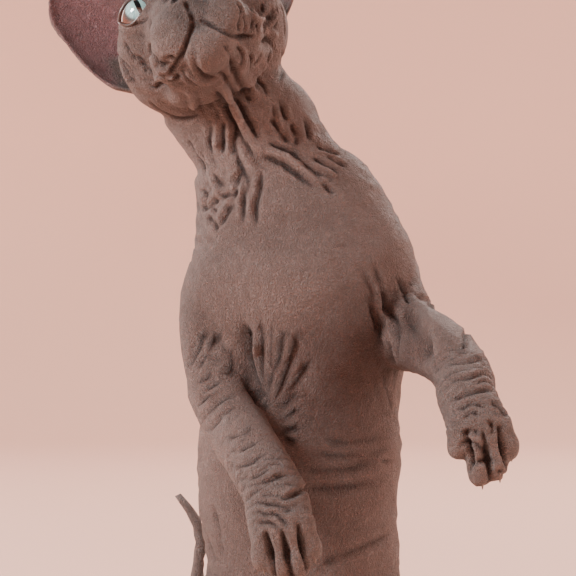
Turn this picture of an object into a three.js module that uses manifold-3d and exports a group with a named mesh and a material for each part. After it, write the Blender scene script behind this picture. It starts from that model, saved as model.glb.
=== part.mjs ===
// A sphynx cat, life size, sitting up on its haunches with both forepaws hanging and its head
// raised and tilted to its right. Millimetres, +Z up. The cat faces -Y and its left side is +X.
// The origin is on the floor, on the flat that the rump rests on, below the middle of the chest.
import * as THREE from "three";
import { mergeVertices } from "three/addons/utils/BufferGeometryUtils.js";
import Module from "manifold-3d";

const wasm = await Module();
wasm.setup();

// Driving dimensions
const gap = 0.3; // between nodes that touch
const earThickness = 2.2;
const eyeRadius = 11.3;
const lidThickness = 1.5;
const lidHalfWidth = 9.8;
const lidRise = 10.2; // of the upper lid's edge, above the line between the corners
const lidDrop = 9; // of the lower lid's edge
const outerCornerUpDeg = 12;
const clawLength = 7;
const clawRadius = 1.4;
const neckFoldRadius = 2.8;
const headTiltDeg = 26; // crown leans to the cat's right
const headRaiseDeg = 31; // nose lifted
const headCentre = [-52, -10.8, 384];

const pinkBrown = new THREE.MeshStandardMaterial({ color: 0x9d7f78, roughness: 0.75, metalness: 0 });
const paleSkin = new THREE.MeshStandardMaterial({ color: 0xb08f86, roughness: 0.75, metalness: 0 });
const greySkin = new THREE.MeshStandardMaterial({ color: 0x7d6b67, roughness: 0.8, metalness: 0 });
const earPink = new THREE.MeshStandardMaterial({ color: 0xa3686a, roughness: 0.65, metalness: 0 });
const eyeBlue = new THREE.MeshStandardMaterial({ color: 0xa9cfd2, roughness: 0.08, metalness: 0 });
const clawHorn = new THREE.MeshStandardMaterial({ color: 0xb9a58f, roughness: 0.4, metalness: 0 });

const point = (a) => new THREE.Vector3(...a);
const mirrored = (a) => [-a[0], a[1], a[2]];

// A closed three.js geometry as a manifold solid.
function solid(geometry) {
  const bare = geometry.clone();
  bare.deleteAttribute("normal");
  bare.deleteAttribute("uv");
  const merged = mergeVertices(bare, 1e-3);
  return new wasm.Manifold(
    new wasm.Mesh({
      numProp: 3,
      vertProperties: merged.attributes.position.array,
      triVerts: new Uint32Array(merged.index.array),
    }),
  );
}

const join = (solids) => solids.reduce((all, next) => all.add(next));
const cut = (solidBody, cutters) => cutters.reduce((left, next) => left.subtract(next), solidBody);

// Rings along a smooth path, closed at both ends by round caps. A station is [x, y, z, side, front, back]:
// its middle and how far the skin reaches to the side, to the front and to the back of it. sideways says
// which way "side" points and capRings how finely the caps are rounded. Each bulge {at, reach, height}
// swells the skin round a point.
function limb(stations, options) {
  const { sides, rings, sideways = [1, 0, 0], caps = [8, 8], capRings = 2, bulges = [], grow = 0 } = options;
  const path = new THREE.CatmullRomCurve3(stations.map((s) => point(s.slice(0, 3))));
  const reach = new THREE.CatmullRomCurve3(stations.map((s) => point(s.slice(3))));
  const positions = [];
  const addRing = (t, shrink, along) => {
    const tangent = path.getTangent(t);
    const middle = path.getPoint(t).addScaledVector(tangent, along);
    const size = reach.getPoint(t);
    const side = point(sideways).addScaledVector(tangent, -point(sideways).dot(tangent)).normalize();
    const front = side.clone().cross(tangent);
    for (let k = 0; k < sides; k++) {
      const angle = (2 * Math.PI * k) / sides;
      const depth = Math.sin(angle) > 0 ? size.y : size.z;
      const out = side
        .clone()
        .multiplyScalar(Math.cos(angle) * size.x)
        .addScaledVector(front, Math.sin(angle) * depth);
      const place = middle.clone().addScaledVector(out, shrink);
      const swell = bulges.reduce(
        (sum, b) => sum + b.height * Math.exp(-place.distanceToSquared(point(b.at)) / (2 * b.reach ** 2)),
        grow * Math.max(shrink, 0.3),
      );
      positions.push(...place.addScaledVector(out.normalize(), swell).toArray());
    }
  };
  const addPole = (t, along) => {
    const tangent = path.getTangent(t);
    positions.push(...path.getPoint(t).addScaledVector(tangent, along).toArray());
  };
  addPole(0, -caps[0] - grow);
  for (let i = 1; i <= capRings; i++) {
    const angle = (Math.PI / 2) * (1 - i / (capRings + 1));
    addRing(0, Math.cos(angle), -Math.sin(angle) * (caps[0] + grow));
  }
  for (let i = 0; i <= rings; i++) addRing(i / rings, 1, 0);
  for (let i = capRings; i >= 1; i--) {
    const angle = (Math.PI / 2) * (1 - i / (capRings + 1));
    addRing(1, Math.cos(angle), Math.sin(angle) * (caps[1] + grow));
  }
  addPole(1, caps[1] + grow);

  const ringCount = rings + 1 + 2 * capRings;
  const first = 1;
  const last = ringCount * sides + 1;
  const faces = [];
  for (let k = 0; k < sides; k++) {
    const next = (k + 1) % sides;
    faces.push(0, first + k, first + next);
    for (let i = 0; i < ringCount - 1; i++) {
      const a = first + i * sides + k;
      const b = first + i * sides + next;
      faces.push(a, a + sides, b, b, a + sides, b + sides);
    }
    faces.push(last, last - sides + next, last - sides + k);
  }
  const geometry = new THREE.BufferGeometry();
  geometry.setAttribute("position", new THREE.Float32BufferAttribute(positions, 3));
  geometry.setIndex(faces);
  return geometry;
}

// An ellipsoid: its middle, three radii and an optional turn in degrees about X, Y and Z.
function ball(at, radii, { turn = [0, 0, 0], detail = [16, 10], grow = 0 } = {}) {
  const angles = turn.map(THREE.MathUtils.degToRad);
  const place = new THREE.Matrix4().compose(
    point(at),
    new THREE.Quaternion().setFromEuler(new THREE.Euler(...angles)),
    point(radii.map((r) => r + grow)),
  );
  return new THREE.SphereGeometry(1, ...detail).applyMatrix4(place);
}

// Everything above the floor stays.
const underFloor = solid(new THREE.BoxGeometry(900, 900, 200).translate(0, 0, -100));

// Torso
const torsoStations = [
  [0, 24, 3, 32, 46, 30],
  [0, 26, 22, 47, 46, 43],
  [0, 19, 48, 53, 50, 49],
  [0, 10, 76, 53.5, 58, 51],
  [2, 3, 104, 52, 62, 50],
  [-1, -1, 138, 53, 61, 48],
  [0, -3, 168, 55, 58, 46],
  [2, -5, 196, 51, 56, 47],
  [3, -5, 222, 54, 58, 50],
  [1, -4, 246, 57, 58, 51],
  [0, -1, 266, 56.5, 54, 49],
  [-3, 1, 284, 53.5, 48, 44],
  [-8, 3, 298, 51.5, 44, 41],
  [-13, 4, 309, 48, 41, 39],
];
const torsoBulges = [
  { at: [-50, -20, 246], reach: 20, height: 7 },
  { at: [48, -18, 256], reach: 22, height: 8 },
  { at: [-2, -58, 252], reach: 15, height: 4 },
  { at: [-26, 42, 262], reach: 16, height: 5 },
  { at: [26, 42, 266], reach: 16, height: 5 },
  { at: [0, -62, 96], reach: 30, height: 5 },
];
const torsoShape = (grow) =>
  solid(limb(torsoStations, { sides: 30, rings: 19, caps: [7, 8], capRings: 3, bulges: torsoBulges, grow }));

// Neck
const neckStations = [
  [-12, 3, 308, 47, 40, 39],
  [-17, 3, 320, 43, 37, 37],
  [-22, 3, 332, 39, 34.5, 35],
  [-34, 4, 347, 35, 33, 34],
  [-46, 4, 363, 35, 33, 33],
];
// Rolls of loose skin on the neck: each runs over the surface through points given as [station, degrees],
// where the station counts along the neck from its root and the degrees run from the cat's left to its
// front.
const neckRolls = [
  [[3.6, 96], [2.8, 80], [1.9, 72], [1.0, 70]],
  [[3.4, 52], [2.5, 54], [1.6, 44], [0.9, 24]],
  [[2.2, 132], [1.5, 128], [1.0, 122], [0.5, 116]],
];
const neckPath = new THREE.CatmullRomCurve3(neckStations.map((s) => point(s.slice(0, 3))));
const neckReach = new THREE.CatmullRomCurve3(neckStations.map((s) => point(s.slice(3))));

function onNeck([station, degrees]) {
  const t = station / (neckStations.length - 1);
  const angle = THREE.MathUtils.degToRad(degrees);
  const tangent = neckPath.getTangent(t);
  const size = neckReach.getPoint(t);
  const side = point([1, 0, 0]).addScaledVector(tangent, -tangent.x).normalize();
  const front = side.clone().cross(tangent);
  const depth = Math.sin(angle) > 0 ? size.y : size.z;
  return neckPath
    .getPoint(t)
    .addScaledVector(side, Math.cos(angle) * size.x)
    .addScaledVector(front, Math.sin(angle) * depth);
}

function neckRoll(spots, grow) {
  const radius = neckFoldRadius + grow;
  const stations = spots.map((spot, i) => {
    const thin = i === spots.length - 1 || i === 0 ? 0.6 : 1;
    return [...onNeck(spot).toArray(), radius * thin, radius * thin, radius * thin];
  });
  return solid(limb(stations, { sides: 5, rings: 6, sideways: [0.3, 1, 0.2], caps: [3, 3], capRings: 1 }));
}
const neckShape = (grow) =>
  join([
    solid(limb(neckStations, { sides: 24, rings: 8, caps: [6, 6], grow })),
    ...neckRolls.map((spots) => neckRoll(spots, grow)),
  ]);

// Head, in its own frame: x to the cat's left, y to the back of the head, z to the crown
const tilt = THREE.MathUtils.degToRad(headTiltDeg);
const raise = THREE.MathUtils.degToRad(headRaiseDeg);
const headPlace = new THREE.Matrix4()
  .makeTranslation(...headCentre)
  .multiply(new THREE.Matrix4().makeRotationY(-tilt))
  .multiply(new THREE.Matrix4().makeRotationX(-raise));
const placed = (geometry) => geometry.applyMatrix4(headPlace);

// Stations run from the brow to the back of the skull: middle, half width, height below and above it.
const skullStations = [
  [0, -39, 0, 28, 22, 15],
  [0, -32, 0, 36, 27, 20],
  [0, -23, -1, 41.5, 31, 25],
  [0, -10, -3, 45.5, 34, 31],
  [0, 3, -4, 46.5, 34, 33],
  [0, 16, -5, 42.5, 33, 31],
  [0, 28, -7, 33, 28, 24],
];
const skullBulges = [
  { at: [42, -20, -10], reach: 9, height: 2 },
  { at: [-42, -20, -10], reach: 9, height: 2 },
  { at: [30, -16, -28], reach: 10, height: 3.5 },
  { at: [-30, -16, -28], reach: 10, height: 3.5 },
  { at: [0, -24, 21], reach: 10, height: 1.5 },
];
const snoutStations = [
  [0, -28, -15, 30, 25, 25],
  [0, -40, -18, 25, 22, 21],
  [0, -49, -21.5, 18.5, 18, 15],
  [0, -56, -23, 11, 11, 9],
];
const padMiddle = [12.5, -46.5, -29];
const padRadii = [13, 12.5, 15.5];
const jowlMiddle = [22, -33, -31];
const jowlRadii = [9, 13, 10];
const chinMiddle = [0, -44, -44];
const chinRadii = [13.5, 12, 11];
const jawStations = [
  [0, -40, -41, 15, 11, 9],
  [0, -26, -38, 24, 12, 12],
  [0, -8, -33, 31, 12, 12],
];
const noseMiddle = [0, -58, -17.5];
const noseRadii = [7.4, 4.4, 5.4];
const eyeMiddle = [24, -31, 4.5];
const eyeTurnDeg = 16; // how far each eye looks outwards
const mouthLine = [
  [27, -28, -35],
  [22, -40, -41],
  [14.5, -52, -41.5],
  [7, -58, -37.5],
  [0, -60.5, -33],
];

function headShape(grow) {
  const along = { sideways: [1, 0, 0], grow };
  const both = (at, radii, options) => [
    solid(placed(ball(at, radii, { grow, ...options }))),
    solid(placed(ball(mirrored(at), radii, { grow, ...options }))),
  ];
  const lid = eyeRadius + lidThickness;
  const skull = { ...along, sides: 28, rings: 11, caps: [6, 10], bulges: skullBulges };
  return join([
    solid(placed(limb(skullStations, skull))),
    solid(placed(limb(snoutStations, { ...along, sides: 14, rings: 4, caps: [4, 3.5] }))),
    solid(placed(limb(jawStations, { ...along, sides: 14, rings: 3, caps: [7, 8] }))),
    ...both(padMiddle, padRadii, { detail: [12, 8] }),
    ...both(jowlMiddle, jowlRadii, { detail: [9, 6] }),
    ...both(eyeMiddle, [lid, lid, lid], { detail: [16, 10] }),
    solid(placed(ball(chinMiddle, chinRadii, { grow, detail: [12, 8] }))),
    solid(placed(ball(noseMiddle, noseRadii, { grow, detail: [10, 6] }))),
  ]);
}

// The opening between the lids: an almond, extruded along the way the eye looks.
function lidOpening(side) {
  const almond = new THREE.Shape();
  almond.moveTo(-lidHalfWidth, 0);
  almond.quadraticCurveTo(-1, -lidDrop * 1.6, lidHalfWidth, 0.5);
  almond.quadraticCurveTo(1, lidRise * 1.5, -lidHalfWidth, 0);
  const place = new THREE.Matrix4()
    .makeTranslation(side * eyeMiddle[0], eyeMiddle[1], eyeMiddle[2])
    .multiply(new THREE.Matrix4().makeRotationZ(THREE.MathUtils.degToRad(side * eyeTurnDeg)))
    .multiply(new THREE.Matrix4().makeRotationX(Math.PI / 2))
    .multiply(new THREE.Matrix4().makeRotationZ(THREE.MathUtils.degToRad(side * outerCornerUpDeg)));
  const prism = new THREE.ExtrudeGeometry(almond, { depth: 30, bevelEnabled: false, curveSegments: 6 });
  return solid(placed(prism.applyMatrix4(place)));
}
const eyeball = (side, grow) =>
  solid(
    placed(
      ball([side * eyeMiddle[0], eyeMiddle[1], eyeMiddle[2]], [eyeRadius, eyeRadius, eyeRadius], {
        detail: [16, 10],
        grow,
      }),
    ),
  );

function lipGroove() {
  const whole = [...mouthLine, ...mouthLine.slice(0, -1).reverse().map(mirrored)];
  const lips = limb(
    whole.map((p) => [...p, 1, 1, 1]),
    { sides: 4, rings: 14, sideways: [0, 0.3, 1], caps: [1, 1], capRings: 1 },
  );
  const cleft = limb(
    [
      [0, -62.5, -22, 0.8, 0.8, 0.8],
      [0, -61.5, -27, 0.9, 0.9, 0.9],
      [0, -60, -33, 0.9, 0.9, 0.9],
    ],
    { sides: 5, rings: 3, caps: [1, 1], capRings: 1 },
  );
  return join([solid(placed(lips)), solid(placed(cleft))]);
}
const nostrilMiddle = [4, -62, -18.6];
const nostrilRadii = [2, 2.4, 1.4];
const nostrilTurnDeg = 25;
function nostril(side) {
  const middle = [side * nostrilMiddle[0], nostrilMiddle[1], nostrilMiddle[2]];
  const options = { turn: [0, side * nostrilTurnDeg, 0], detail: [8, 6] };
  return solid(placed(ball(middle, nostrilRadii, options)));
}

// Ears
const earInnerEdge = [
  [18, 8, 18],
  [18, -1, 33],
  [22, -4, 50],
  [32, -2, 70],
  [45, 2, 86],
  [57, 5, 94.5],
];
const earOuterEdge = [
  [42, 15, 2],
  [54, 9, 9],
  [61, 6, 22],
  [66.5, 5, 44],
  [69.5, 4, 68],
  [61, 5.5, 94],
];
const earCupDepths = [18, 23, 23, 18, 10, 1.5];
const earCupWay = point([-0.25, 0.96, -0.1]).normalize();

function earShape(side) {
  const columns = 9;
  const rows = 9;
  const inner = new THREE.CatmullRomCurve3(earInnerEdge.map(point));
  const outer = new THREE.CatmullRomCurve3(earOuterEdge.map(point));
  const depths = new THREE.CatmullRomCurve3(earCupDepths.map((d, i) => point([i, d, 0])));
  const cup = (u, v) => {
    const depth = depths.getPoint(v).y * (1 - Math.abs(2 * u - 1) ** 2.2) ** 0.7;
    return inner.getPoint(v).lerp(outer.getPoint(v), u).addScaledVector(earCupWay, depth);
  };
  const positions = [];
  for (const layer of [0, 1])
    for (let j = 0; j <= rows; j++)
      for (let i = 0; i <= columns; i++) {
        const u = i / columns;
        const v = j / rows;
        const step = 0.02;
        const across = cup(Math.min(u + step, 1), v).sub(cup(Math.max(u - step, 0), v));
        const up = cup(u, Math.min(v + step, 1)).sub(cup(u, Math.max(v - step, 0)));
        const out = up.cross(across).normalize();
        positions.push(...cup(u, v).addScaledVector(out, layer * earThickness).toArray());
      }
  const at = (layer, i, j) => layer * (columns + 1) * (rows + 1) + j * (columns + 1) + i;
  const faces = [];
  const quad = (a, b, c, d) => faces.push(a, b, c, a, c, d);
  for (let j = 0; j < rows; j++)
    for (let i = 0; i < columns; i++) {
      quad(at(0, i, j), at(0, i + 1, j), at(0, i + 1, j + 1), at(0, i, j + 1));
      faces.push(at(1, i, j), at(1, i + 1, j + 1), at(1, i + 1, j));
      faces.push(at(1, i, j), at(1, i, j + 1), at(1, i + 1, j + 1));
    }
  for (let j = 0; j < rows; j++) {
    quad(at(0, 0, j), at(0, 0, j + 1), at(1, 0, j + 1), at(1, 0, j));
    quad(at(0, columns, j + 1), at(0, columns, j), at(1, columns, j), at(1, columns, j + 1));
  }
  for (let i = 0; i < columns; i++) {
    quad(at(0, i + 1, 0), at(0, i, 0), at(1, i, 0), at(1, i + 1, 0));
    quad(at(0, i, rows), at(0, i + 1, rows), at(1, i + 1, rows), at(1, i, rows));
  }
  const geometry = new THREE.BufferGeometry();
  geometry.setAttribute("position", new THREE.Float32BufferAttribute(positions, 3));
  geometry.setIndex(side > 0 ? faces : faces.toReversed());
  if (side < 0) geometry.scale(-1, 1, 1);
  return solid(placed(geometry));
}

// Forelegs
const forelegs = {
  left: {
    upperArm: [
      [30, 6, 266, 19, 21, 21],
      [45, -10, 250, 19, 21, 21],
      [54, -30, 234, 17.5, 19.5, 19.5],
      [57, -46, 225, 17, 18, 18],
    ],
    forearm: [
      [59, -44, 227, 17, 18, 17],
      [70, -66, 221, 16, 16, 16],
      [77.5, -88, 211, 14.5, 14.5, 14.5],
      [78, -108, 200, 14, 14, 14],
    ],
    paw: [
      [78, -103, 202, 13.5, 13, 13],
      [80.5, -113, 194, 14.5, 12.5, 12.5],
      [82.5, -117, 187, 14.5, 9.5, 12],
      [84, -117.5, 179, 13, 5, 10],
    ],
    pawSide: [0.96, 0.1, 0.2],
  },
  right: {
    upperArm: [
      [-38, 4, 270, 19, 21, 21],
      [-47, -8, 248, 17, 19, 19],
      [-47.5, -26, 222, 15.5, 17, 17],
      [-42, -40, 197, 15, 16, 16],
    ],
    forearm: [
      [-43, -38, 199, 15.5, 16.5, 16.5],
      [-33, -58, 182, 15.5, 16, 17],
      [-23, -85, 170, 15, 15, 15],
      [-13.5, -106, 157, 15, 14, 14],
    ],
    paw: [
      [-14, -101, 159, 14.5, 13, 13],
      [-11.5, -112, 150, 15.5, 12.5, 12.5],
      [-9.5, -116.5, 142, 15.5, 9.5, 12],
      [-8, -117.5, 134, 13.5, 5, 10],
    ],
    pawSide: [0.97, 0.05, 0.2],
  },
};
const foreToes = { way: [0.18, -0.05, -0.98], halfWidth: 10.8, drop: 2, length: 25, radius: 5.3 };
const knuckleLead = 5.5; // how far the toes start ahead of the paw's middle
const forePadSink = 6; // how far the pad sits under the paw's end
const forePadRadii = [9, 6, 8];
const hindToesShape = { halfWidth: 10, drop: 1, length: 15, radius: 5.3 };

// A toe: root, knuckle and tip along a way that curls under, seen from its paw.
function toeStations({ root, way, under, length, radius }) {
  const station = (share, sink, wide, front, back) => [
    ...point(root)
      .addScaledVector(point(way), share * length)
      .addScaledVector(point(under), sink * radius)
      .toArray(),
    wide * radius,
    front * radius,
    back * radius,
  ];
  return [
    station(-0.15, 0.5, 0.85, 0.9, 0.9),
    station(0.2, -0.1, 1, 1, 1),
    station(0.6, 0.1, 0.98, 0.95, 1),
    station(0.95, 0.6, 0.9, 0.8, 0.95),
  ];
}

const toeSpread = [-1, -0.36, 0.34, 1]; // across the paw, from its first to its last toe
const toeShares = [0.82, 1, 1, 0.84];

// Where each toe of a paw starts, which way it goes and which way it curls under.
function toesOf({ end, side, way, halfWidth, drop, length, radius }) {
  const across = point(side).normalize();
  const ahead = point(way).addScaledVector(across, -point(way).dot(across)).normalize();
  const under = across.clone().cross(ahead).normalize();
  return toeSpread.map((spread, i) => {
    const root = point(end)
      .addScaledVector(across, spread * halfWidth)
      .addScaledVector(under, Math.abs(spread) * drop)
      .addScaledVector(ahead, -Math.abs(spread) * length * 0.12);
    const splay = ahead.clone().addScaledVector(across, spread * 0.06).normalize();
    const pose = { root: root.toArray(), way: splay.toArray(), under: under.toArray() };
    return { ...pose, length: length * toeShares[i], radius };
  });
}

const toeSolid = (toe, side, grow) =>
  solid(limb(toeStations(toe), { sides: 8, rings: 3, sideways: side, caps: [2, toe.radius * 0.7], grow }));

// A claw: a thin hooked cone that starts inside the toe's tip.
function clawSolid(toe, side) {
  const tip = point(toe.root).addScaledVector(point(toe.way), toe.length);
  const stations = [0, 0.4, 0.75, 1].map((share, i) => {
    const place = tip
      .clone()
      .addScaledVector(point(toe.way), share * clawLength + toe.radius * 0.2)
      .addScaledVector(point(toe.under), share ** 2 * clawLength * 0.55 - toe.radius * 0.1);
    const radius = clawRadius * [1, 0.85, 0.55, 0.25][i];
    return [...place.toArray(), radius * 0.7, radius, radius];
  });
  return solid(limb(stations, { sides: 4, rings: 2, sideways: side, caps: [0.8, 0.5], capRings: 1 }));
}

const pawToes = (leg) => {
  const knuckles = point(leg.paw.at(-2).slice(0, 3)).add(point([0, -knuckleLead, 0]));
  return toesOf({ ...foreToes, end: knuckles.toArray(), side: leg.pawSide });
};

function forepaw(leg, grow) {
  const toes = pawToes(leg);
  const pad = point(leg.paw.at(-1).slice(0, 3)).addScaledVector(point(toes[0].under), forePadSink);
  return join([
    solid(limb(leg.paw, { sides: 14, rings: 4, sideways: leg.pawSide, caps: [4, 4], grow })),
    solid(ball(pad.toArray(), forePadRadii, { detail: [8, 6], grow })),
    ...toes.map((toe) => toeSolid(toe, leg.pawSide, grow)),
  ]);
}

// Hind legs, given for the cat's left and mirrored for its right
const thighStations = [
  [26, 38, 48, 30, 38, 32],
  [46, 14, 55, 30, 38, 34],
  [61, -14, 65, 25, 31, 30],
  [68, -38, 72, 18, 21, 22],
];
const shankStations = [
  [66, -38, 68, 16, 16, 17],
  [65, -14, 50, 15, 15, 17],
  [60, 10, 30, 12, 12, 13],
  [56, 26, 17, 10.5, 11, 11],
];
const hindFootStations = [
  [54, 32, 11, 9, 9.5, 10],
  [57, 8, 10.5, 10.5, 9.5, 10],
  [61, -20, 10.5, 12, 9.5, 10],
  [65, -42, 10.5, 15, 9, 9.5],
  [67, -52, 10, 14.5, 8, 8.5],
];
const hindFootSide = [0.985, 0.17, 0];
const hindPadMiddle = [65, -44, 4];
const hindPadRadii = [11, 9, 5];
const forSide = (stations, side) => stations.map((s) => [side * s[0], ...s.slice(1)]);

const hindSide = (side) => [hindFootSide[0], side * hindFootSide[1], 0];

function hindToes(side) {
  const end = forSide(hindFootStations, side).at(-1).slice(0, 3);
  return toesOf({ ...hindToesShape, end, side: hindSide(side), way: [side * 0.17, -0.98, -0.08] });
}

function hindFoot(side, grow) {
  const pad = [side * hindPadMiddle[0], hindPadMiddle[1], hindPadMiddle[2]];
  const sole = { sides: 12, rings: 5, sideways: hindSide(side), caps: [7, 4], grow };
  return join([
    solid(limb(forSide(hindFootStations, side), sole)),
    solid(ball(pad, hindPadRadii, { detail: [8, 6], grow })),
    ...hindToes(side).map((toe) => toeSolid(toe, hindSide(side), grow)),
  ]);
}

function thighShape(side, grow) {
  const sideways = [0.75, -side * 0.6, 0];
  return solid(limb(forSide(thighStations, side), { sides: 16, rings: 6, sideways, caps: [8, 14], grow }));
}

function shankShape(side, grow) {
  return solid(limb(forSide(shankStations, side), { sides: 11, rings: 4, caps: [8, 7], grow }));
}

// Tail: out behind the rump, round to the cat's right on the floor, then up
const tailLengths = {
  tail_root: [
    [0, 44, 14, 13, 13, 12],
    [-2, 66, 10, 9, 9, 9],
    [-10, 88, 7, 7, 7, 7],
    [-22, 104, 5.6, 6, 6, 6],
  ],
  tail_middle: [
    [-20, 102, 5.8, 5.4, 5.4, 5.4],
    [-36, 112, 5.2, 5.4, 5.4, 5.4],
    [-53, 110, 11, 5.1, 5.1, 5.1],
    [-61, 100, 30, 4.8, 4.8, 4.8],
    [-62, 91, 56, 4.4, 4.4, 4.4],
  ],
  tail_tip: [
    [-62, 92, 53, 4.3, 4.3, 4.3],
    [-60.5, 84, 80, 4, 4, 4],
    [-58.5, 80, 104, 3.6, 3.6, 3.6],
    [-63, 80, 118, 3.1, 3.1, 3.1],
    [-71, 80, 129, 2.4, 2.4, 2.4],
  ],
};
const tailRings = { sides: 8, rings: 8, sideways: [0.5, 0.3, 0.8], caps: [3, 2.4], capRings: 1 };
const tailShape = (name, grow) => solid(limb(tailLengths[name], { ...tailRings, grow }));

// Parting: each piece is cut clear of what it grows from
const pieces = new Map();
const keep = (name, body, material) => {
  const parts = cut(body, [underFloor]).decompose();
  const largest = parts.reduce((a, b) => (b.volume() > a.volume() ? b : a));
  pieces.set(name, { body: largest, material });
};

const torsoClear = torsoShape(gap);
const headClear = headShape(gap);
const sideNames = { left: 1, right: -1 };

keep("torso", torsoShape(0), pinkBrown);
keep("neck", cut(neckShape(0), [torsoClear, headClear]), pinkBrown);
const bothSides = Object.values(sideNames);
const headOpenings = [
  ...bothSides.map((side) => eyeball(side, gap)),
  ...bothSides.map(lidOpening),
  ...bothSides.map(nostril),
  lipGroove(),
];
keep("head", cut(headShape(0), headOpenings), greySkin);

for (const [name, side] of Object.entries(sideNames)) {
  keep(`eye_${name}`, eyeball(side, 0), eyeBlue);
  keep(`ear_${name}`, cut(earShape(side), [headClear, neckShape(gap)]), earPink);

  const leg = forelegs[name];
  const armOptions = { sides: 14, rings: 5, caps: [8, 10] };
  const upperArm = (grow) => solid(limb(leg.upperArm, { ...armOptions, grow }));
  const forearm = (grow) => solid(limb(leg.forearm, { ...armOptions, rings: 6, caps: [10, 8], grow }));
  keep(`upper_arm_${name}`, cut(upperArm(0), [torsoClear]), pinkBrown);
  keep(`forearm_${name}`, cut(forearm(0), [torsoClear, upperArm(gap)]), paleSkin);
  keep(`forepaw_${name}`, cut(forepaw(leg, 0), [forearm(gap)]), greySkin);
  pawToes(leg).forEach((toe, i) =>
    keep(`foreclaw_${name}_${i + 1}`, cut(clawSolid(toe, leg.pawSide), [forepaw(leg, gap)]), clawHorn),
  );

  keep(`thigh_${name}`, cut(thighShape(side, 0), [torsoClear]), pinkBrown);
  keep(`shank_${name}`, cut(shankShape(side, 0), [torsoClear, thighShape(side, gap)]), pinkBrown);
  const legClear = [torsoClear, thighShape(side, gap), shankShape(side, gap)];
  keep(`hind_foot_${name}`, cut(hindFoot(side, 0), legClear), greySkin);
  hindToes(side).forEach((toe, i) =>
    keep(`hind_claw_${name}_${i + 1}`, cut(clawSolid(toe, hindSide(side)), [hindFoot(side, gap)]), clawHorn),
  );
}

keep("tail_root", cut(tailShape("tail_root", 0), [torsoClear]), pinkBrown);
keep("tail_middle", cut(tailShape("tail_middle", 0), [tailShape("tail_root", gap)]), greySkin);
keep("tail_tip", cut(tailShape("tail_tip", 0), [tailShape("tail_middle", gap)]), greySkin);

// A manifold solid as a named three.js mesh.
function meshOf(name, { body, material }) {
  const made = body.getMesh();
  const positions = new Float32Array(made.numVert * 3);
  for (let i = 0; i < made.numVert; i++)
    positions.set(made.vertProperties.subarray(i * made.numProp, i * made.numProp + 3), i * 3);
  const geometry = new THREE.BufferGeometry();
  geometry.setAttribute("position", new THREE.BufferAttribute(positions, 3));
  geometry.setIndex(new THREE.BufferAttribute(made.triVerts, 1));
  geometry.computeVertexNormals();
  const mesh = new THREE.Mesh(geometry, material);
  mesh.name = name;
  return mesh;
}

const cat = new THREE.Group();
for (const [name, piece] of pieces) cat.add(meshOf(name, piece));

export default cat;
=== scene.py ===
# Looks for the life-size sphynx cat that sits up on its haunches.
# Shapes are worked out in millimetres and put into the meshes in metres.
import bpy
import numpy as np
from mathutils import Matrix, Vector
from mathutils.bvhtree import BVHTree


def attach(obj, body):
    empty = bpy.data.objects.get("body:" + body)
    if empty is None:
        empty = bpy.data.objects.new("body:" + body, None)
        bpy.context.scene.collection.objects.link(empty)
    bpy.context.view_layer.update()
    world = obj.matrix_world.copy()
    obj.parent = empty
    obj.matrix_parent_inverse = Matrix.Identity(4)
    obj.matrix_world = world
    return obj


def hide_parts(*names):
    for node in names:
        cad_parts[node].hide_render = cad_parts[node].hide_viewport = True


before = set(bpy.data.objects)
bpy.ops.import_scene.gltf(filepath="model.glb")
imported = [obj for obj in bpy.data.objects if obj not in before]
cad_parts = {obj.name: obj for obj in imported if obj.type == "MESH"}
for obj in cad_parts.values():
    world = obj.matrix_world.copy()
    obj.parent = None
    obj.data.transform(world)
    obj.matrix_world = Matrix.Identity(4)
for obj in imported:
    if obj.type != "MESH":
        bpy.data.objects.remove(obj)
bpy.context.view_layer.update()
mm = 0.001
sides = {"left": 1, "right": -1}

# Camera, floor and lights
print("stage: camera, floor and lights")
photo = {"place": (-6.5, -850.0, 252.4), "lens": 98.25, "sensor": 36.0, "pixels": 576, "toBody": 830}
focal = photo["lens"] / photo["sensor"] * photo["pixels"]  # in pixels

cameraData = bpy.data.cameras.new("camera")
cameraData.lens = photo["lens"]
cameraData.sensor_width = photo["sensor"]
camera = bpy.data.objects.new("camera", cameraData)
camera.location = [c * mm for c in photo["place"]]
camera.rotation_euler = (np.pi / 2, 0, 0)
bpy.context.scene.collection.objects.link(camera)
bpy.context.scene.camera = camera

lamps = {
    "key": {"place": (-1.35, -0.75, 1.15), "aim": (0, 0, 0.3), "size": 0.6, "watts": 58,
            "colour": (1, 0.98, 0.97)},
    "front": {"place": (-0.3, -1.7, 0.9), "aim": (0, 0, 0.3), "size": 0.9, "watts": 2.5,
              "colour": (1, 0.93, 0.9)},
    "right": {"place": (1.5, -0.1, 0.7), "aim": (0, 0, 0.28), "size": 0.8, "watts": 18,
              "colour": (1, 0.88, 0.82)},
    "back": {"place": (0.7, 1.4, 1.2), "aim": (0, 0, 0.3), "size": 1.0, "watts": 22,
             "colour": (1, 0.92, 0.88)},
    "leftBack": {"place": (-1.2, 1.2, 0.7), "aim": (0, 0, 0.3), "size": 0.9, "watts": 9,
                 "colour": (1, 0.93, 0.9)},
}
for name, lamp in lamps.items():
    data = bpy.data.lights.new(name, "AREA")
    data.energy, data.size, data.color = lamp["watts"], lamp["size"], lamp["colour"]
    data.shape = "DISK"
    light = bpy.data.objects.new(name, data)
    light.location = lamp["place"]
    aim = Vector(lamp["aim"]) - Vector(lamp["place"])
    light.rotation_euler = aim.to_track_quat("-Z", "Y").to_euler()
    bpy.context.scene.collection.objects.link(light)

world = bpy.data.worlds.new("studio")
world.use_nodes = True
world.node_tree.nodes["Background"].inputs["Color"].default_value = (1, 0.9, 0.85, 1)
world.node_tree.nodes["Background"].inputs["Strength"].default_value = 0.08
bpy.context.scene.world = world


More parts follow.
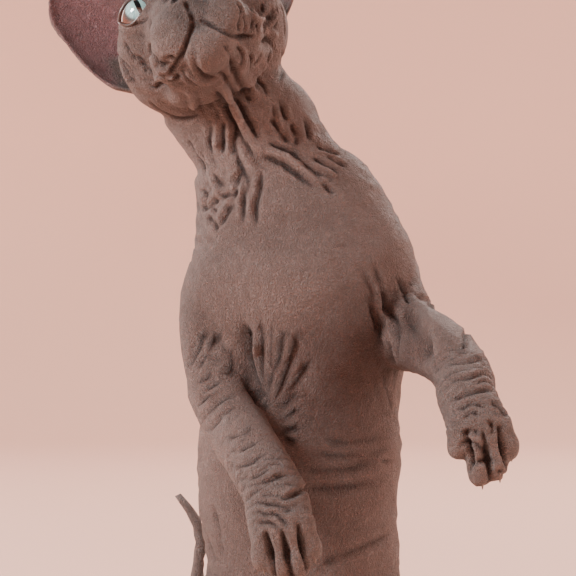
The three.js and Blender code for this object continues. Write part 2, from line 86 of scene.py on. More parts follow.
# Materials: a Field is one socket that takes part in sums, a Paint is one material
class Field:
    def __init__(self, paint, out):
        self.paint = paint
        self.out = out

    def maths(self, operation, *terms):
        return self.paint.node("ShaderNodeMath", {"operation": operation}, dict(enumerate(terms)))

    def __add__(self, other):
        return self.maths("ADD", self, other)

    def __sub__(self, other):
        return self.maths("SUBTRACT", self, other)

    def __rsub__(self, other):
        return self.maths("SUBTRACT", other, self)

    def __mul__(self, other):
        return self.maths("MULTIPLY", self, other)

    def __truediv__(self, other):
        return self.maths("DIVIDE", self, other)

    def __pow__(self, other):
        return self.maths("POWER", self, other)

    __radd__ = __add__
    __rmul__ = __mul__

    def clip(self):
        return self.maths("MINIMUM", self.maths("MAXIMUM", self, 0.0), 1.0)

    def size(self):
        return self.maths("ABSOLUTE", self)

    # 0 below low and 1 above high, with a soft step between
    def step(self, low, high):
        settings = {"interpolation_type": "SMOOTHSTEP"}
        return self.paint.node("ShaderNodeMapRange", settings,
                               {"Value": self, "From Min": low, "From Max": high})


class Paint:
    def __init__(self, name, constants):
        self.material = bpy.data.materials.new(name)
        self.material.use_nodes = True
        self.tree = self.material.node_tree
        self.surface = self.tree.nodes["Principled BSDF"]
        for key, value in constants.items():
            self.surface.inputs[key].default_value = value

    def node(self, kind, settings, values, output=0):
        made = self.tree.nodes.new(kind)
        for key, value in settings.items():
            setattr(made, key, value)
        for key, value in values.items():
            if isinstance(value, Field):
                self.tree.links.new(value.out, made.inputs[key])
            else:
                made.inputs[key].default_value = value
        return Field(self, made.outputs[output])

    def place(self, scale=(1, 1, 1)):
        where = self.node("ShaderNodeTexCoord", {}, {}, "Object")
        return self.node("ShaderNodeMapping", {}, {"Vector": where, "Scale": scale})

    def attribute(self, name):
        return self.node("ShaderNodeAttribute", {"attribute_name": name}, {}, "Fac")

    def noise(self, where, scale, detail=3.0, rough=0.55, warp=0.0):
        values = {"Vector": where, "Scale": scale, "Detail": detail, "Roughness": rough, "Distortion": warp}
        return self.node("ShaderNodeTexNoise", {}, values, "Fac")

    def cells(self, where, scale, feature="DISTANCE_TO_EDGE"):
        return self.node("ShaderNodeTexVoronoi", {"feature": feature}, {"Vector": where, "Scale": scale},
                         "Distance")

    def mix(self, factor, first, second):
        first, second = (c if isinstance(c, Field) else (*c, 1) for c in (first, second))
        return self.node("ShaderNodeMix", {"data_type": "RGBA"}, {0: factor, 6: first, 7: second}, 2)

    def bump(self, height, strength, distance):
        values = {"Height": height, "Strength": strength, "Distance": distance}
        return self.node("ShaderNodeBump", {}, values, "Normal")

    def wear(self, **links):
        for key, field in links.items():
            self.tree.links.new(field.out, self.surface.inputs[key.replace("_", " ")])


# Meshes
def addMesh(name, points, faces):
    mesh = bpy.data.meshes.new(name)
    corners = np.concatenate([part.ravel() for part in faces]).astype(np.int32)
    widths = np.concatenate([np.full(len(part), part.shape[1]) for part in faces])
    mesh.vertices.add(len(points))
    mesh.vertices.foreach_set("co", (points * mm).astype(np.float32).ravel())
    mesh.loops.add(len(corners))
    mesh.loops.foreach_set("vertex_index", corners)
    mesh.polygons.add(len(widths))
    mesh.polygons.foreach_set("loop_start", np.concatenate([[0], np.cumsum(widths)[:-1]]).astype(np.int32))
    mesh.update(calc_edges=True)
    mesh.polygons.foreach_set("use_smooth", np.ones(len(widths), bool))
    made = bpy.data.objects.new(name, mesh)
    bpy.context.scene.collection.objects.link(made)
    return made


def addAttribute(made, name, values):
    layer = made.data.attributes.new(name, "FLOAT", "POINT")
    layer.data.foreach_set("value", np.asarray(values, np.float32))


def joinShapes(shapes):
    points, faces, start = [], [], 0
    for shapePoints, parts in shapes:
        points.append(shapePoints)
        faces += [part + start for part in parts]
        start += len(shapePoints)
    return np.concatenate(points), faces


# Rows of rings (rows, around, 3) between two poles, as one closed surface that faces outwards.
def closedTube(rings, first, last):
    rows, around = rings.shape[:2]
    points = np.vstack([first, rings.reshape(-1, 3), last])
    k = np.arange(around)
    nextK = (k + 1) % around
    start = 1 + around * np.arange(rows - 1)[:, None]
    quads = np.stack([start + k, start + around + k, start + around + nextK, start + nextK], -1)
    top, end = 1 + around * (rows - 1), len(points) - 1
    fans = [np.stack([0 * k, 1 + k, 1 + nextK], 1), np.stack([0 * k + end, top + nextK, top + k], 1)]
    return points, [quads.reshape(-1, 4), np.vstack(fans)]


# The curve that the solids follow: centripetal Catmull-Rom through the points, t from 0 to 1. Between two
# points it is the cubic whose end slopes weigh each chord by the root of its length.
def smoothCurve(points, t):
    p = np.asarray(points, float)
    p = np.vstack([2 * p[0] - p[1], p, 2 * p[-1] - p[-2]])
    spans = len(p) - 3
    place = np.clip(np.atleast_1d(t), 0, 1) * spans
    i = np.minimum(place.astype(int), spans - 1)
    w = (place - i)[:, None]
    chord = np.maximum(np.linalg.norm(np.diff(p, axis=0), axis=1) ** 0.5, 1e-4)[:, None]
    before, here, after = chord[i], chord[i + 1], chord[i + 2]
    p0, p1, p2, p3 = p[i], p[i + 1], p[i + 2], p[i + 3]
    m1 = ((p1 - p0) / before - (p2 - p0) / (before + here) + (p2 - p1) / here) * here
    m2 = ((p2 - p1) / here - (p3 - p1) / (here + after) + (p3 - p2) / after) * here
    return p1 + m1 * w + (3 * (p2 - p1) - 2 * m1 - m2) * w**2 + (2 * (p1 - p2) + m1 + m2) * w**3


def unit(vectors):
    return vectors / np.maximum(np.linalg.norm(vectors, axis=-1, keepdims=True), 1e-9)


# A limb: rings across a smooth path, each an oval whose front and back halves have their own depth, and
# ends that shrink along a quarter circle. A station is x, y, z, side, front, back in millimetres.
def limb(stations, sideways=(1, 0, 0), caps=(8, 8), bulges=(), along=48, around=56, capRows=8):
    stations = np.asarray(stations, float)
    path, reach = stations[:, :3], stations[:, 3:]
    quarter = np.pi / 2 * (1 - np.arange(1, capRows + 1) / (capRows + 1))
    t = np.concatenate([np.zeros(capRows), np.linspace(0, 1, along), np.ones(capRows)])
    shrink = np.concatenate([np.cos(quarter), np.ones(along), np.cos(quarter)[::-1]])[:, None, None]
    shift = np.concatenate([-np.sin(quarter) * caps[0], np.zeros(along), np.sin(quarter)[::-1] * caps[1]])
    tangent = unit(smoothCurve(path, t + 1e-4) - smoothCurve(path, t - 1e-4))
    middle = smoothCurve(path, t) + tangent * shift[:, None]
    size = smoothCurve(reach, t)
    side = np.asarray(sideways, float) - tangent * (tangent @ np.asarray(sideways, float))[:, None]
    side = unit(side)
    front = np.cross(side, tangent)
    angle = np.linspace(0, 2 * np.pi, around, endpoint=False)
    depth = np.where(np.sin(angle) > 0, size[:, 1:2], size[:, 2:3])
    across = side[:, None] * (np.cos(angle) * size[:, :1])[..., None]
    out = across + front[:, None] * (np.sin(angle) * depth)[..., None]
    rings = middle[:, None] + out * shrink
    swell = np.zeros(rings.shape[:2])
    for bulge in bulges:
        swell += bulge["height"] * np.exp(-((rings - bulge["at"]) ** 2).sum(-1) / (2 * bulge["reach"] ** 2))
    rings = rings + unit(out) * swell[..., None]
    start, end = tangent[0], tangent[-1]
    return closedTube(rings, smoothCurve(path, 0)[0] - start * caps[0],
                      smoothCurve(path, 1)[0] + end * caps[1])


# An ellipsoid: circles of latitude of the unit sphere, stretched by three radii and moved to its middle.
def ball(at, radii, rows=30, around=44):
    latitude = np.linspace(0, np.pi, rows + 2)[1:-1, None]
    angle = np.linspace(0, 2 * np.pi, around, endpoint=False)[None]
    rings = np.stack([np.sin(latitude) * np.cos(angle), -np.sin(latitude) * np.sin(angle),
                      -np.cos(latitude) + 0 * angle], -1)
    at, radii = np.asarray(at, float), np.asarray(radii, float)
    low, high = np.array([0, 0, -1.0]), np.array([0, 0, 1.0])
    return closedTube(rings * radii + at, low * radii + at, high * radii + at)


def mirrored(points):
    return [(-p[0], *p[1:]) for p in points]


# The body's dimensions, as in the solids. Only the shares under toes, each toe's part of the full length,
# differ: the photograph shows the inner and outer toes of the cat's left forepaw shorter than the solids.
torso = {
    "stations": [
        (0, 24, 3, 32, 46, 30), (0, 26, 22, 47, 46, 43), (0, 19, 48, 53, 50, 49), (0, 10, 76, 53.5, 58, 51),
        (2, 3, 104, 52, 62, 50), (-1, -1, 138, 53, 61, 48), (0, -3, 168, 55, 58, 46),
        (2, -5, 196, 51, 56, 47), (3, -5, 222, 54, 58, 50), (1, -4, 246, 57, 58, 51),
        (0, -1, 266, 56.5, 54, 49), (-3, 1, 284, 53.5, 48, 44), (-8, 3, 298, 51.5, 44, 41),
        (-13, 4, 309, 48, 41, 39),
    ],
    "bulges": [
        {"at": (-50, -20, 246), "reach": 20, "height": 7}, {"at": (48, -18, 256), "reach": 22, "height": 8},
        {"at": (-2, -58, 252), "reach": 15, "height": 4}, {"at": (-26, 42, 262), "reach": 16, "height": 5},
        {"at": (26, 42, 266), "reach": 16, "height": 5}, {"at": (0, -62, 96), "reach": 30, "height": 5},
    ],
}
neck = {
    "stations": [
        (-12, 3, 308, 47, 40, 39), (-17, 3, 320, 43, 37, 37), (-22, 3, 332, 39, 34.5, 35),
        (-34, 4, 347, 35, 33, 34), (-46, 4, 363, 35, 33, 33),
    ],
}
head = {
    "centre": (-52, -10.8, 384),
    "tilt": 26, "raise": 31,
    "skull": [
        (0, -39, 0, 28, 22, 15), (0, -32, 0, 36, 27, 20), (0, -23, -1, 41.5, 31, 25),
        (0, -10, -3, 45.5, 34, 31),
        (0, 3, -4, 46.5, 34, 33), (0, 16, -5, 42.5, 33, 31), (0, 28, -7, 33, 28, 24),
    ],
    "bulges": [
        {"at": (42, -20, -10), "reach": 9, "height": 2}, {"at": (-42, -20, -10), "reach": 9, "height": 2},
        {"at": (30, -16, -28), "reach": 10, "height": 3.5},
        {"at": (-30, -16, -28), "reach": 10, "height": 3.5},
        {"at": (0, -24, 21), "reach": 10, "height": 1.5},
    ],
    "snout": [
        (0, -28, -15, 30, 25, 25), (0, -40, -18, 25, 22, 21), (0, -49, -21.5, 18.5, 18, 15),
        (0, -56, -23, 11, 11, 9),
    ],
    "jaw": [(0, -40, -41, 15, 11, 9), (0, -26, -38, 24, 12, 12), (0, -8, -33, 31, 12, 12)],
    "pad": ((12.5, -46.5, -29), (13, 12.5, 15.5)),
    "jowl": ((22, -33, -31), (9, 13, 10)),
    "chin": ((0, -44, -44), (13.5, 12, 11)),
    "nose": ((0, -58, -17.5), (7.4, 4.4, 5.4)),
}
eye = {"middle": (24, -31, 4.5), "radius": 11.3, "lid": 1.5, "turn": 16, "cornerUp": 12,
       "halfWidth": 9.8, "rise": 7.7, "drop": 7.0, "gaze": (-0.10, -0.857, 0.50)}
ear = {
    "inner": [(18, 8, 18), (18, -1, 33), (22, -4, 50), (32, -2, 70), (45, 2, 86), (57, 5, 94.5)],
    "outer": [(42, 15, 2), (54, 9, 9), (61, 6, 22), (66.5, 5, 44), (69.5, 4, 68), (61, 5.5, 94)],
    "depths": (18, 23, 23, 18, 10, 1.5), "way": (-0.25, 0.96, -0.1), "thickness": 2.2,
}
forelegs = {
    "left": {
        "upperArm": [(30, 6, 266, 19, 21, 21), (45, -10, 250, 19, 21, 21), (54, -30, 234, 17.5, 19.5, 19.5),
                     (57, -46, 225, 17, 18, 18)],
        "forearm": [(59, -44, 227, 17, 18, 17), (70, -66, 221, 16, 16, 16),
                    (77.5, -88, 211, 14.5, 14.5, 14.5), (78, -108, 200, 14, 14, 14)],
        "paw": [(78, -103, 202, 13.5, 13, 13), (80.5, -113, 194, 14.5, 12.5, 12.5),
                (82.5, -117, 187, 14.5, 9.5, 12), (84, -117.5, 179, 13, 5, 10)],
        "side": (0.96, 0.1, 0.2), "toes": (0.45, 1, 0.95, 0.7),
    },
    "right": {
        "upperArm": [(-38, 4, 270, 19, 21, 21), (-47, -8, 248, 17, 19, 19), (-47.5, -26, 222, 15.5, 17, 17),
                     (-42, -40, 197, 15, 16, 16)],
        "forearm": [(-43, -38, 199, 15.5, 16.5, 16.5), (-33, -58, 182, 15.5, 16, 17),
                    (-23, -85, 170, 15, 15, 15), (-13.5, -106, 157, 15, 14, 14)],
        "paw": [(-14, -101, 159, 14.5, 13, 13), (-11.5, -112, 150, 15.5, 12.5, 12.5),
                (-9.5, -116.5, 142, 15.5, 9.5, 12), (-8, -117.5, 134, 13.5, 5, 10)],
        "side": (0.97, 0.05, 0.2), "toes": (0.8, 1, 1, 0.8),
    },
}
foreToes = {"way": (0.18, -0.05, -0.98), "halfWidth": 10.8, "drop": 2, "length": 25, "radius": 5.3}
hindToes = {"halfWidth": 10, "drop": 1, "length": 15, "radius": 5.3}
hindLeg = {
    "thigh": [(26, 38, 48, 30, 38, 32), (46, 14, 55, 30, 38, 34), (61, -14, 65, 25, 31, 30),
              (68, -38, 72, 18, 21, 22)],
    "shank": [(66, -38, 68, 16, 16, 17), (65, -14, 50, 15, 15, 17), (60, 10, 30, 12, 12, 13),
              (56, 26, 17, 10.5, 11, 11)],
    "foot": [(54, 32, 11, 9, 9.5, 10), (57, 8, 10.5, 10.5, 9.5, 10), (61, -20, 10.5, 12, 9.5, 10),
             (65, -42, 10.5, 15, 9, 9.5), (67, -52, 10, 14.5, 8, 8.5)],
    "side": (0.985, 0.17, 0),
}
tail = [
    (0, 44, 14, 13, 13, 12), (-2, 66, 10, 9, 9, 9), (-10, 88, 7, 7, 7, 7), (-22, 104, 5.6, 5.7, 5.7, 5.7),
    (-36, 112, 5.2, 5.4, 5.4, 5.4), (-53, 110, 11, 5.1, 5.1, 5.1), (-61, 100, 30, 4.8, 4.8, 4.8),
    (-62, 91, 56, 4.4, 4.4, 4.4), (-60.5, 84, 80, 4, 4, 4), (-58.5, 80, 104, 3.6, 3.6, 3.6),
    (-63, 80, 118, 3.1, 3.1, 3.1), (-71, 80, 129, 2.4, 2.4, 2.4),
]

# The head has its own axes, x to the cat's left, y to the back of the head and z to the crown.
tiltAngle, raiseAngle = -np.radians(head["tilt"]), -np.radians(head["raise"])
tiltTurn = np.array([[np.cos(tiltAngle), 0, np.sin(tiltAngle)], [0, 1, 0],
                     [-np.sin(tiltAngle), 0, np.cos(tiltAngle)]])
raiseTurn = np.array([[1, 0, 0], [0, np.cos(raiseAngle), -np.sin(raiseAngle)],
                      [0, np.sin(raiseAngle), np.cos(raiseAngle)]])
headTurn = tiltTurn @ raiseTurn


def fromHead(points):
    return np.asarray(points, float) @ headTurn.T + head["centre"]


def toHead(points):
    return (points - head["centre"]) @ headTurn


def onHead(shape):
    return fromHead(shape[0]), shape[1]


# An ear: a sheet between two edges, pushed back between them into a cup by a power of the distance from
# its middle, with a second layer one thickness behind it and the rim closed.
def earCup(u, v):
    inner, outer = (smoothCurve(ear[edge], v.ravel()).reshape(*v.shape, 3) for edge in ("inner", "outer"))
    steps = [(i, depth, 0) for i, depth in enumerate(ear["depths"])]
    depth = smoothCurve(steps, v.ravel())[:, 1].reshape(v.shape) * (1 - np.abs(2 * u - 1) ** 2.2) ** 0.7
    return inner + (outer - inner) * u[..., None] + unit(np.array(ear["way"])) * depth[..., None]


def earShape(side, columns=56, rows=64):
    u, v = np.meshgrid(np.linspace(0, 1, columns), np.linspace(0, 1, rows))
    step = 0.02
    across = earCup(np.minimum(u + step, 1), v) - earCup(np.maximum(u - step, 0), v)
    up = earCup(u, np.minimum(v + step, 1)) - earCup(u, np.maximum(v - step, 0))
    front = earCup(u, v)
    back = front + unit(np.cross(up, across)) * ear["thickness"]
    points = np.concatenate([front.reshape(-1, 3), back.reshape(-1, 3)]) * (side, 1, 1)
    at = np.arange(rows * columns).reshape(rows, columns)
    behind = at + rows * columns
    loop = np.concatenate([at[0], at[1:, -1], at[-1, -2::-1], at[-2:0:-1, 0]])
    follow = np.roll(loop, -1)
    faces = [
        np.stack([at[:-1, :-1], at[:-1, 1:], at[1:, 1:], at[1:, :-1]], -1).reshape(-1, 4),
        np.stack([behind[:-1, :-1], behind[1:, :-1], behind[1:, 1:], behind[:-1, 1:]], -1).reshape(-1, 4),
        np.stack([loop, loop + rows * columns, follow + rows * columns, follow], -1),
    ]
    return onHead((points, faces if side > 0 else [part[:, ::-1] for part in faces]))


# Where each toe of a paw starts, which way it goes and which way it curls under.
def toesOf(end, sideways, way, halfWidth, drop, length, radius, shares=(0.82, 1, 1, 0.84)):
    across = unit(np.asarray(sideways, float))
    ahead = unit(np.asarray(way, float) - across * (across @ np.asarray(way, float)))
    under = np.cross(across, ahead)
    toes = []
    for spread, share in zip((-1, -0.36, 0.34, 1), shares):
        root = np.asarray(end, float) + across * spread * halfWidth + under * abs(spread) * drop
        root = root - ahead * abs(spread) * length * 0.12
        toes.append({"root": root, "way": unit(ahead + across * spread * 0.06), "under": under,
                     "length": length * share, "radius": radius, "side": across})
    return toes


def toeShape(toe):
    def station(share, sink, wide, front, back):
        place = toe["root"] + toe["way"] * share * toe["length"] + toe["under"] * sink * toe["radius"]
        return (*place, wide * toe["radius"], front * toe["radius"], back * toe["radius"])

    stations = [station(-0.15, 0.5, 0.85, 0.9, 0.9), station(0.2, -0.15, 1, 1.05, 1),
                station(0.42, 0.02, 0.84, 0.82, 0.95),
                station(0.7, 0.12, 1.08, 1.12, 1.05), station(0.95, 0.6, 1, 0.95, 1)]
    return limb(stations, toe["side"], (2, toe["radius"] * 0.7), along=24, around=24, capRows=5)


def foreToesOf(leg):
    knuckles = np.array(leg["paw"][-2][:3]) + (0, -5.5, 0)
    return toesOf(knuckles, leg["side"], shares=leg["toes"], **foreToes)


def hindSide(side):
    return np.array(hindLeg["side"]) * (1, side, 1)


def forSide(stations, side):
    return [(side * s[0], *s[1:]) for s in stations]


def hindToesOf(side):
    end = forSide(hindLeg["foot"], side)[-1][:3]
    return toesOf(end, hindSide(side), (side * 0.17, -0.98, -0.08), **hindToes)


print("skin: the body's shapes")
eyeBall = np.array(eye["middle"], float)
lidRadius = eye["radius"] + eye["lid"]
shapes = [
    limb(torso["stations"], caps=(7, 8), bulges=torso["bulges"], along=110, around=110),
    limb(neck["stations"], caps=(6, 6), around=80),
    onHead(limb(head["skull"], caps=(6, 10), bulges=head["bulges"], around=80)),
    onHead(limb(head["snout"], caps=(4, 3.5))),
    onHead(limb(head["jaw"], caps=(7, 8))),
    onHead(ball(*head["chin"])),
    onHead(ball(*head["nose"])),
    limb(tail, (0.5, 0.3, 0.8), (3, 2.4), along=160, around=20),
]
for sideName, side in sides.items():
    leg = forelegs[sideName]
    for part in ("pad", "jowl"):
        middle, radii = head[part]
        shapes.append(onHead(ball(mirrored([middle])[0] if side < 0 else middle, radii)))
    shapes.append(onHead(ball(eyeBall * (side, 1, 1), [lidRadius] * 3)))
    shapes.append(earShape(side))
    toes = foreToesOf(leg)
    shapes += [limb(leg["upperArm"], caps=(8, 10)), limb(leg["forearm"], caps=(10, 8))]
    shapes.append(limb(leg["paw"], leg["side"], (4, 4)))
    shapes.append(ball(np.array(leg["paw"][-1][:3]) + toes[0]["under"] * 6, (9, 6, 8)))
    shapes.append(limb(forSide(hindLeg["thigh"], side), (0.75, -side * 0.6, 0), (8, 14)))
    shapes.append(limb(forSide(hindLeg["shank"], side), caps=(8, 7)))
    shapes.append(limb(forSide(hindLeg["foot"], side), hindSide(side), (7, 4)))
    shapes.append(ball((side * 65, -44, 4), (11, 9, 5)))
    shapes += [toeShape(toe) for toe in toes + hindToesOf(side)]


# Lines drawn over the skin where the photograph shows its folds
def rayTree(points, faces):
    corners = [tuple(face) for part in faces for face in part.tolist()]
    return BVHTree.FromPolygons(points.tolist(), corners)


# Follows the camera's ray through each pixel to the skin, or to the skin nearest to the ray.
def fromPhoto(pixels, tree):
    eyePoint = Vector(photo["place"])
    half = photo["pixels"] / 2
    found = []
    for x, y in pixels:
        ray = Vector(((x - half) / focal, 1, (half - y) / focal))
        hit = tree.ray_cast(eyePoint, ray)[0]
        found.append(hit or tree.find_nearest(eyePoint + ray * photo["toBody"])[0])
    return np.array(found)


# A smooth line through the points, kept on the skin, with a point every step or so millimetres.
def overSkin(points, tree, step=0.7):
    length = np.linalg.norm(np.diff(points, axis=0), axis=1).sum()
    line = smoothCurve(points, np.linspace(0, 1, max(8, int(length / step))))
    return np.array([tree.find_nearest(p)[0] for p in line])


# Rolls of loose skin that stand on the surface: pixels of the photograph along each, its radius and how
# far its middle lies above the skin.
rolls = [
    {"radius": 2.5, "rise": 0.5, "pixels": [(222, 81), (226, 90), (232, 102), (238, 118), (242, 125),
     (250, 139), (257, 151), (261, 161)]},
    {"radius": 2.3, "rise": 0.2, "pixels": [(224, 43), (240, 47), (244, 57), (242, 71), (250, 84),
     (262, 98), (269, 107)]},
    {"radius": 2.2, "rise": 0.4, "pixels": [(244, 123), (254, 133), (265, 141), (276, 151), (289, 160),
     (305, 164), (319, 173), (332, 182)]},
    {"radius": 2.2, "rise": 0.3, "pixels": [(296, 114), (301, 127), (305, 142), (301, 149), (308, 153),
     (319, 150), (329, 143)]},
    {"radius": 1.8, "rise": 0.3, "pixels": [(183, 55), (182, 68), (188, 78), (199, 83), (212, 84),
     (217, 88)]},
    {"radius": 1.7, "rise": 0.1, "pixels": [(300, 166), (310, 176), (325, 186)]},
    {"radius": 1.7, "rise": 0.0, "pixels": [(147, 79), (157, 79), (171, 82)]},
]
bodyTree = rayTree(*joinShapes(shapes))
for roll in rolls:
    line = overSkin(fromPhoto(roll["pixels"], bodyTree), bodyTree, 2.5)
    out = unit(np.array([bodyTree.find_nearest(p)[1] for p in line]))
    taper = np.clip(np.minimum(np.arange(len(line)), np.arange(len(line))[::-1]) / 4, 0, 1)[:, None]
    line = line + out * (roll["rise"] - (1 - taper) * roll["radius"])
    radii = np.repeat(roll["radius"] * (0.55 + 0.45 * taper), 3, axis=1)
    shapes.append(limb(np.hstack([line, radii]), (0.3, 1, 0.2), (2, 2), along=60, around=14, capRows=3))

# One closed skin: the shapes are joined and meshed again in small cubes.
print("skin: joining")
remesh = {"voxel": 0.9, "triangles": 192000}
rough = addMesh("rough", *joinShapes(shapes))
changer = rough.modifiers.new("join", "REMESH")
changer.mode = "VOXEL"
changer.voxel_size = remesh["voxel"] * mm
joined = rough.evaluated_get(bpy.context.evaluated_depsgraph_get()).data
points = np.empty(len(joined.vertices) * 3, np.float32)
joined.vertices.foreach_get("co", points)
points = points.reshape(-1, 3).astype(float) / mm
quads = np.empty(len(joined.loops), np.int32)
joined.loops.foreach_get("vertex_index", quads)
quads = quads.reshape(-1, 4)
edges = np.empty(len(joined.edges) * 2, np.int32)
joined.edges.foreach_get("vertices", edges)
edges = edges.reshape(-1, 2)
bpy.data.objects.remove(rough)
print("skin:", len(points), "points")


# Every point moves towards the mean of its neighbours by its own amount, over and over.
def relax(values, amount, rounds):
    count = len(values)
    neighbours = np.maximum(np.bincount(edges.ravel(), minlength=count), 1)[:, None]
    values = values.copy()
    for _ in range(rounds):
        total = np.stack([np.bincount(edges[:, 0], values[edges[:, 1], k], count)
                          + np.bincount(edges[:, 1], values[edges[:, 0], k], count)
                          for k in range(values.shape[1])], 1)
        values += amount * (total / neighbours - values)
    return values


def normalsOf(values):
    across = np.cross(values[quads[:, 2]] - values[quads[:, 0]], values[quads[:, 3]] - values[quads[:, 1]])
    total = np.stack([sum(np.bincount(quads[:, j], across[:, k], len(values)) for j in range(4))
                      for k in range(3)], 1)
    return unit(total)


def softStep(values, low, high):
    share = np.clip((values - low) / (high - low), 0, 1)
    return share * share * (3 - 2 * share)


# 1 at a place, fading to 0 at about twice the reach from it
def near(place, reach):
    return np.exp(-((points - np.asarray(place, float)) ** 2).sum(1) / reach**2)


local = toHead(points)
onEars = softStep(np.maximum(local[:, 2] - 33, np.abs(local[:, 0]) - 49), 0, 6) * (points[:, 2] > 330)
toeEnds = [toe["root"] + toe["way"] * 12 for leg in forelegs.values() for toe in foreToesOf(leg)]
toeEnds += [toe["root"] + toe["way"] * 8 for side in (1, -1) for toe in hindToesOf(side)]
onToes = np.clip(sum(near(end, 9) for end in toeEnds), 0, 1)
onTail = softStep(points[:, 1], 62, 74) * (points[:, 2] < 150)
onMuzzle = near(fromHead((0, -52, -30)), 20)
onEyes = np.clip(near(fromHead(eyeBall), 14) + near(fromHead(eyeBall * (-1, 1, 1)), 14), 0, 1)
keepSharp = np.clip(onEars * 0.93 + onToes * 0.8 + onTail * 0.9 + onMuzzle * 0.7 + onEyes * 0.8, 0, 0.95)
smoothing = {"amount": 0.5, "everywhere": 5, "softParts": 40, "broad": 40, "fine": 8}
points = relax(points, smoothing["amount"], smoothing["everywhere"])
points = relax(points, (smoothing["amount"] * (1 - keepSharp))[:, None], smoothing["softParts"])
points[:, 2] = np.maximum(points[:, 2], 0)
normals = normalsOf(points)
skinTree = rayTree(points, [quads])
print("skin: smoothed")

# The eye's own axes: across to its outer corner, up to the upper lid, and the way it looks
def eyeAxes(side):
    turn, corner = np.radians(eye["turn"]), np.radians(eye["cornerUp"])
    look = np.array([side * np.sin(turn), -np.cos(turn), 0])
    outer = np.array([side * np.cos(turn), np.sin(turn), 0])
    up = np.array([0, 0, 1.0])
    across = outer * np.cos(corner) + up * np.sin(corner)
    rise = up * np.cos(corner) - outer * np.sin(corner)
    return [headTurn @ axis for axis in (across, rise, look)]


# The opening between the lids is bounded by two parabolas, the upper one highest near the nose and the
# lower one lowest near the outer corner.
def lidEdges(x):
    share = np.clip(x / eye["halfWidth"], -1, 1)
    arch = 1 - share**2
    return -eye["drop"] * arch * (1 + 0.25 * share), eye["rise"] * arch * (1 - 0.25 * share)


# Skin inside the opening sinks behind the ball. Round it the lids stand out from the ball and slope away.
socket = {"reach": 24, "ring": 7, "sunk": 1.6, "lids": 1.25}
for side in (1, -1):
    centre = fromHead(eyeBall * (side, 1, 1))
    across, rise, look = eyeAxes(side)
    away = points - centre
    x, y, z = away @ across, away @ rise, away @ look
    radius = np.maximum(np.linalg.norm(away, axis=1), 1e-6)
    lower, upper = lidEdges(x)
    outside = np.maximum(np.maximum(y - upper, lower - y), np.abs(x) - eye["halfWidth"])
    close = (z > 1) & (radius < socket["reach"])
    inside = close & (outside < 0)
    wanted = np.where(inside, np.minimum(radius, eye["radius"] - socket["sunk"]), radius)
    ring = close & (outside >= 0) & (outside < socket["ring"])
    wanted = np.where(ring, np.maximum(radius, eye["radius"] + socket["lids"] - 0.1 * outside), wanted)
    points = centre + away * (wanted / radius)[:, None]
normals = normalsOf(points)

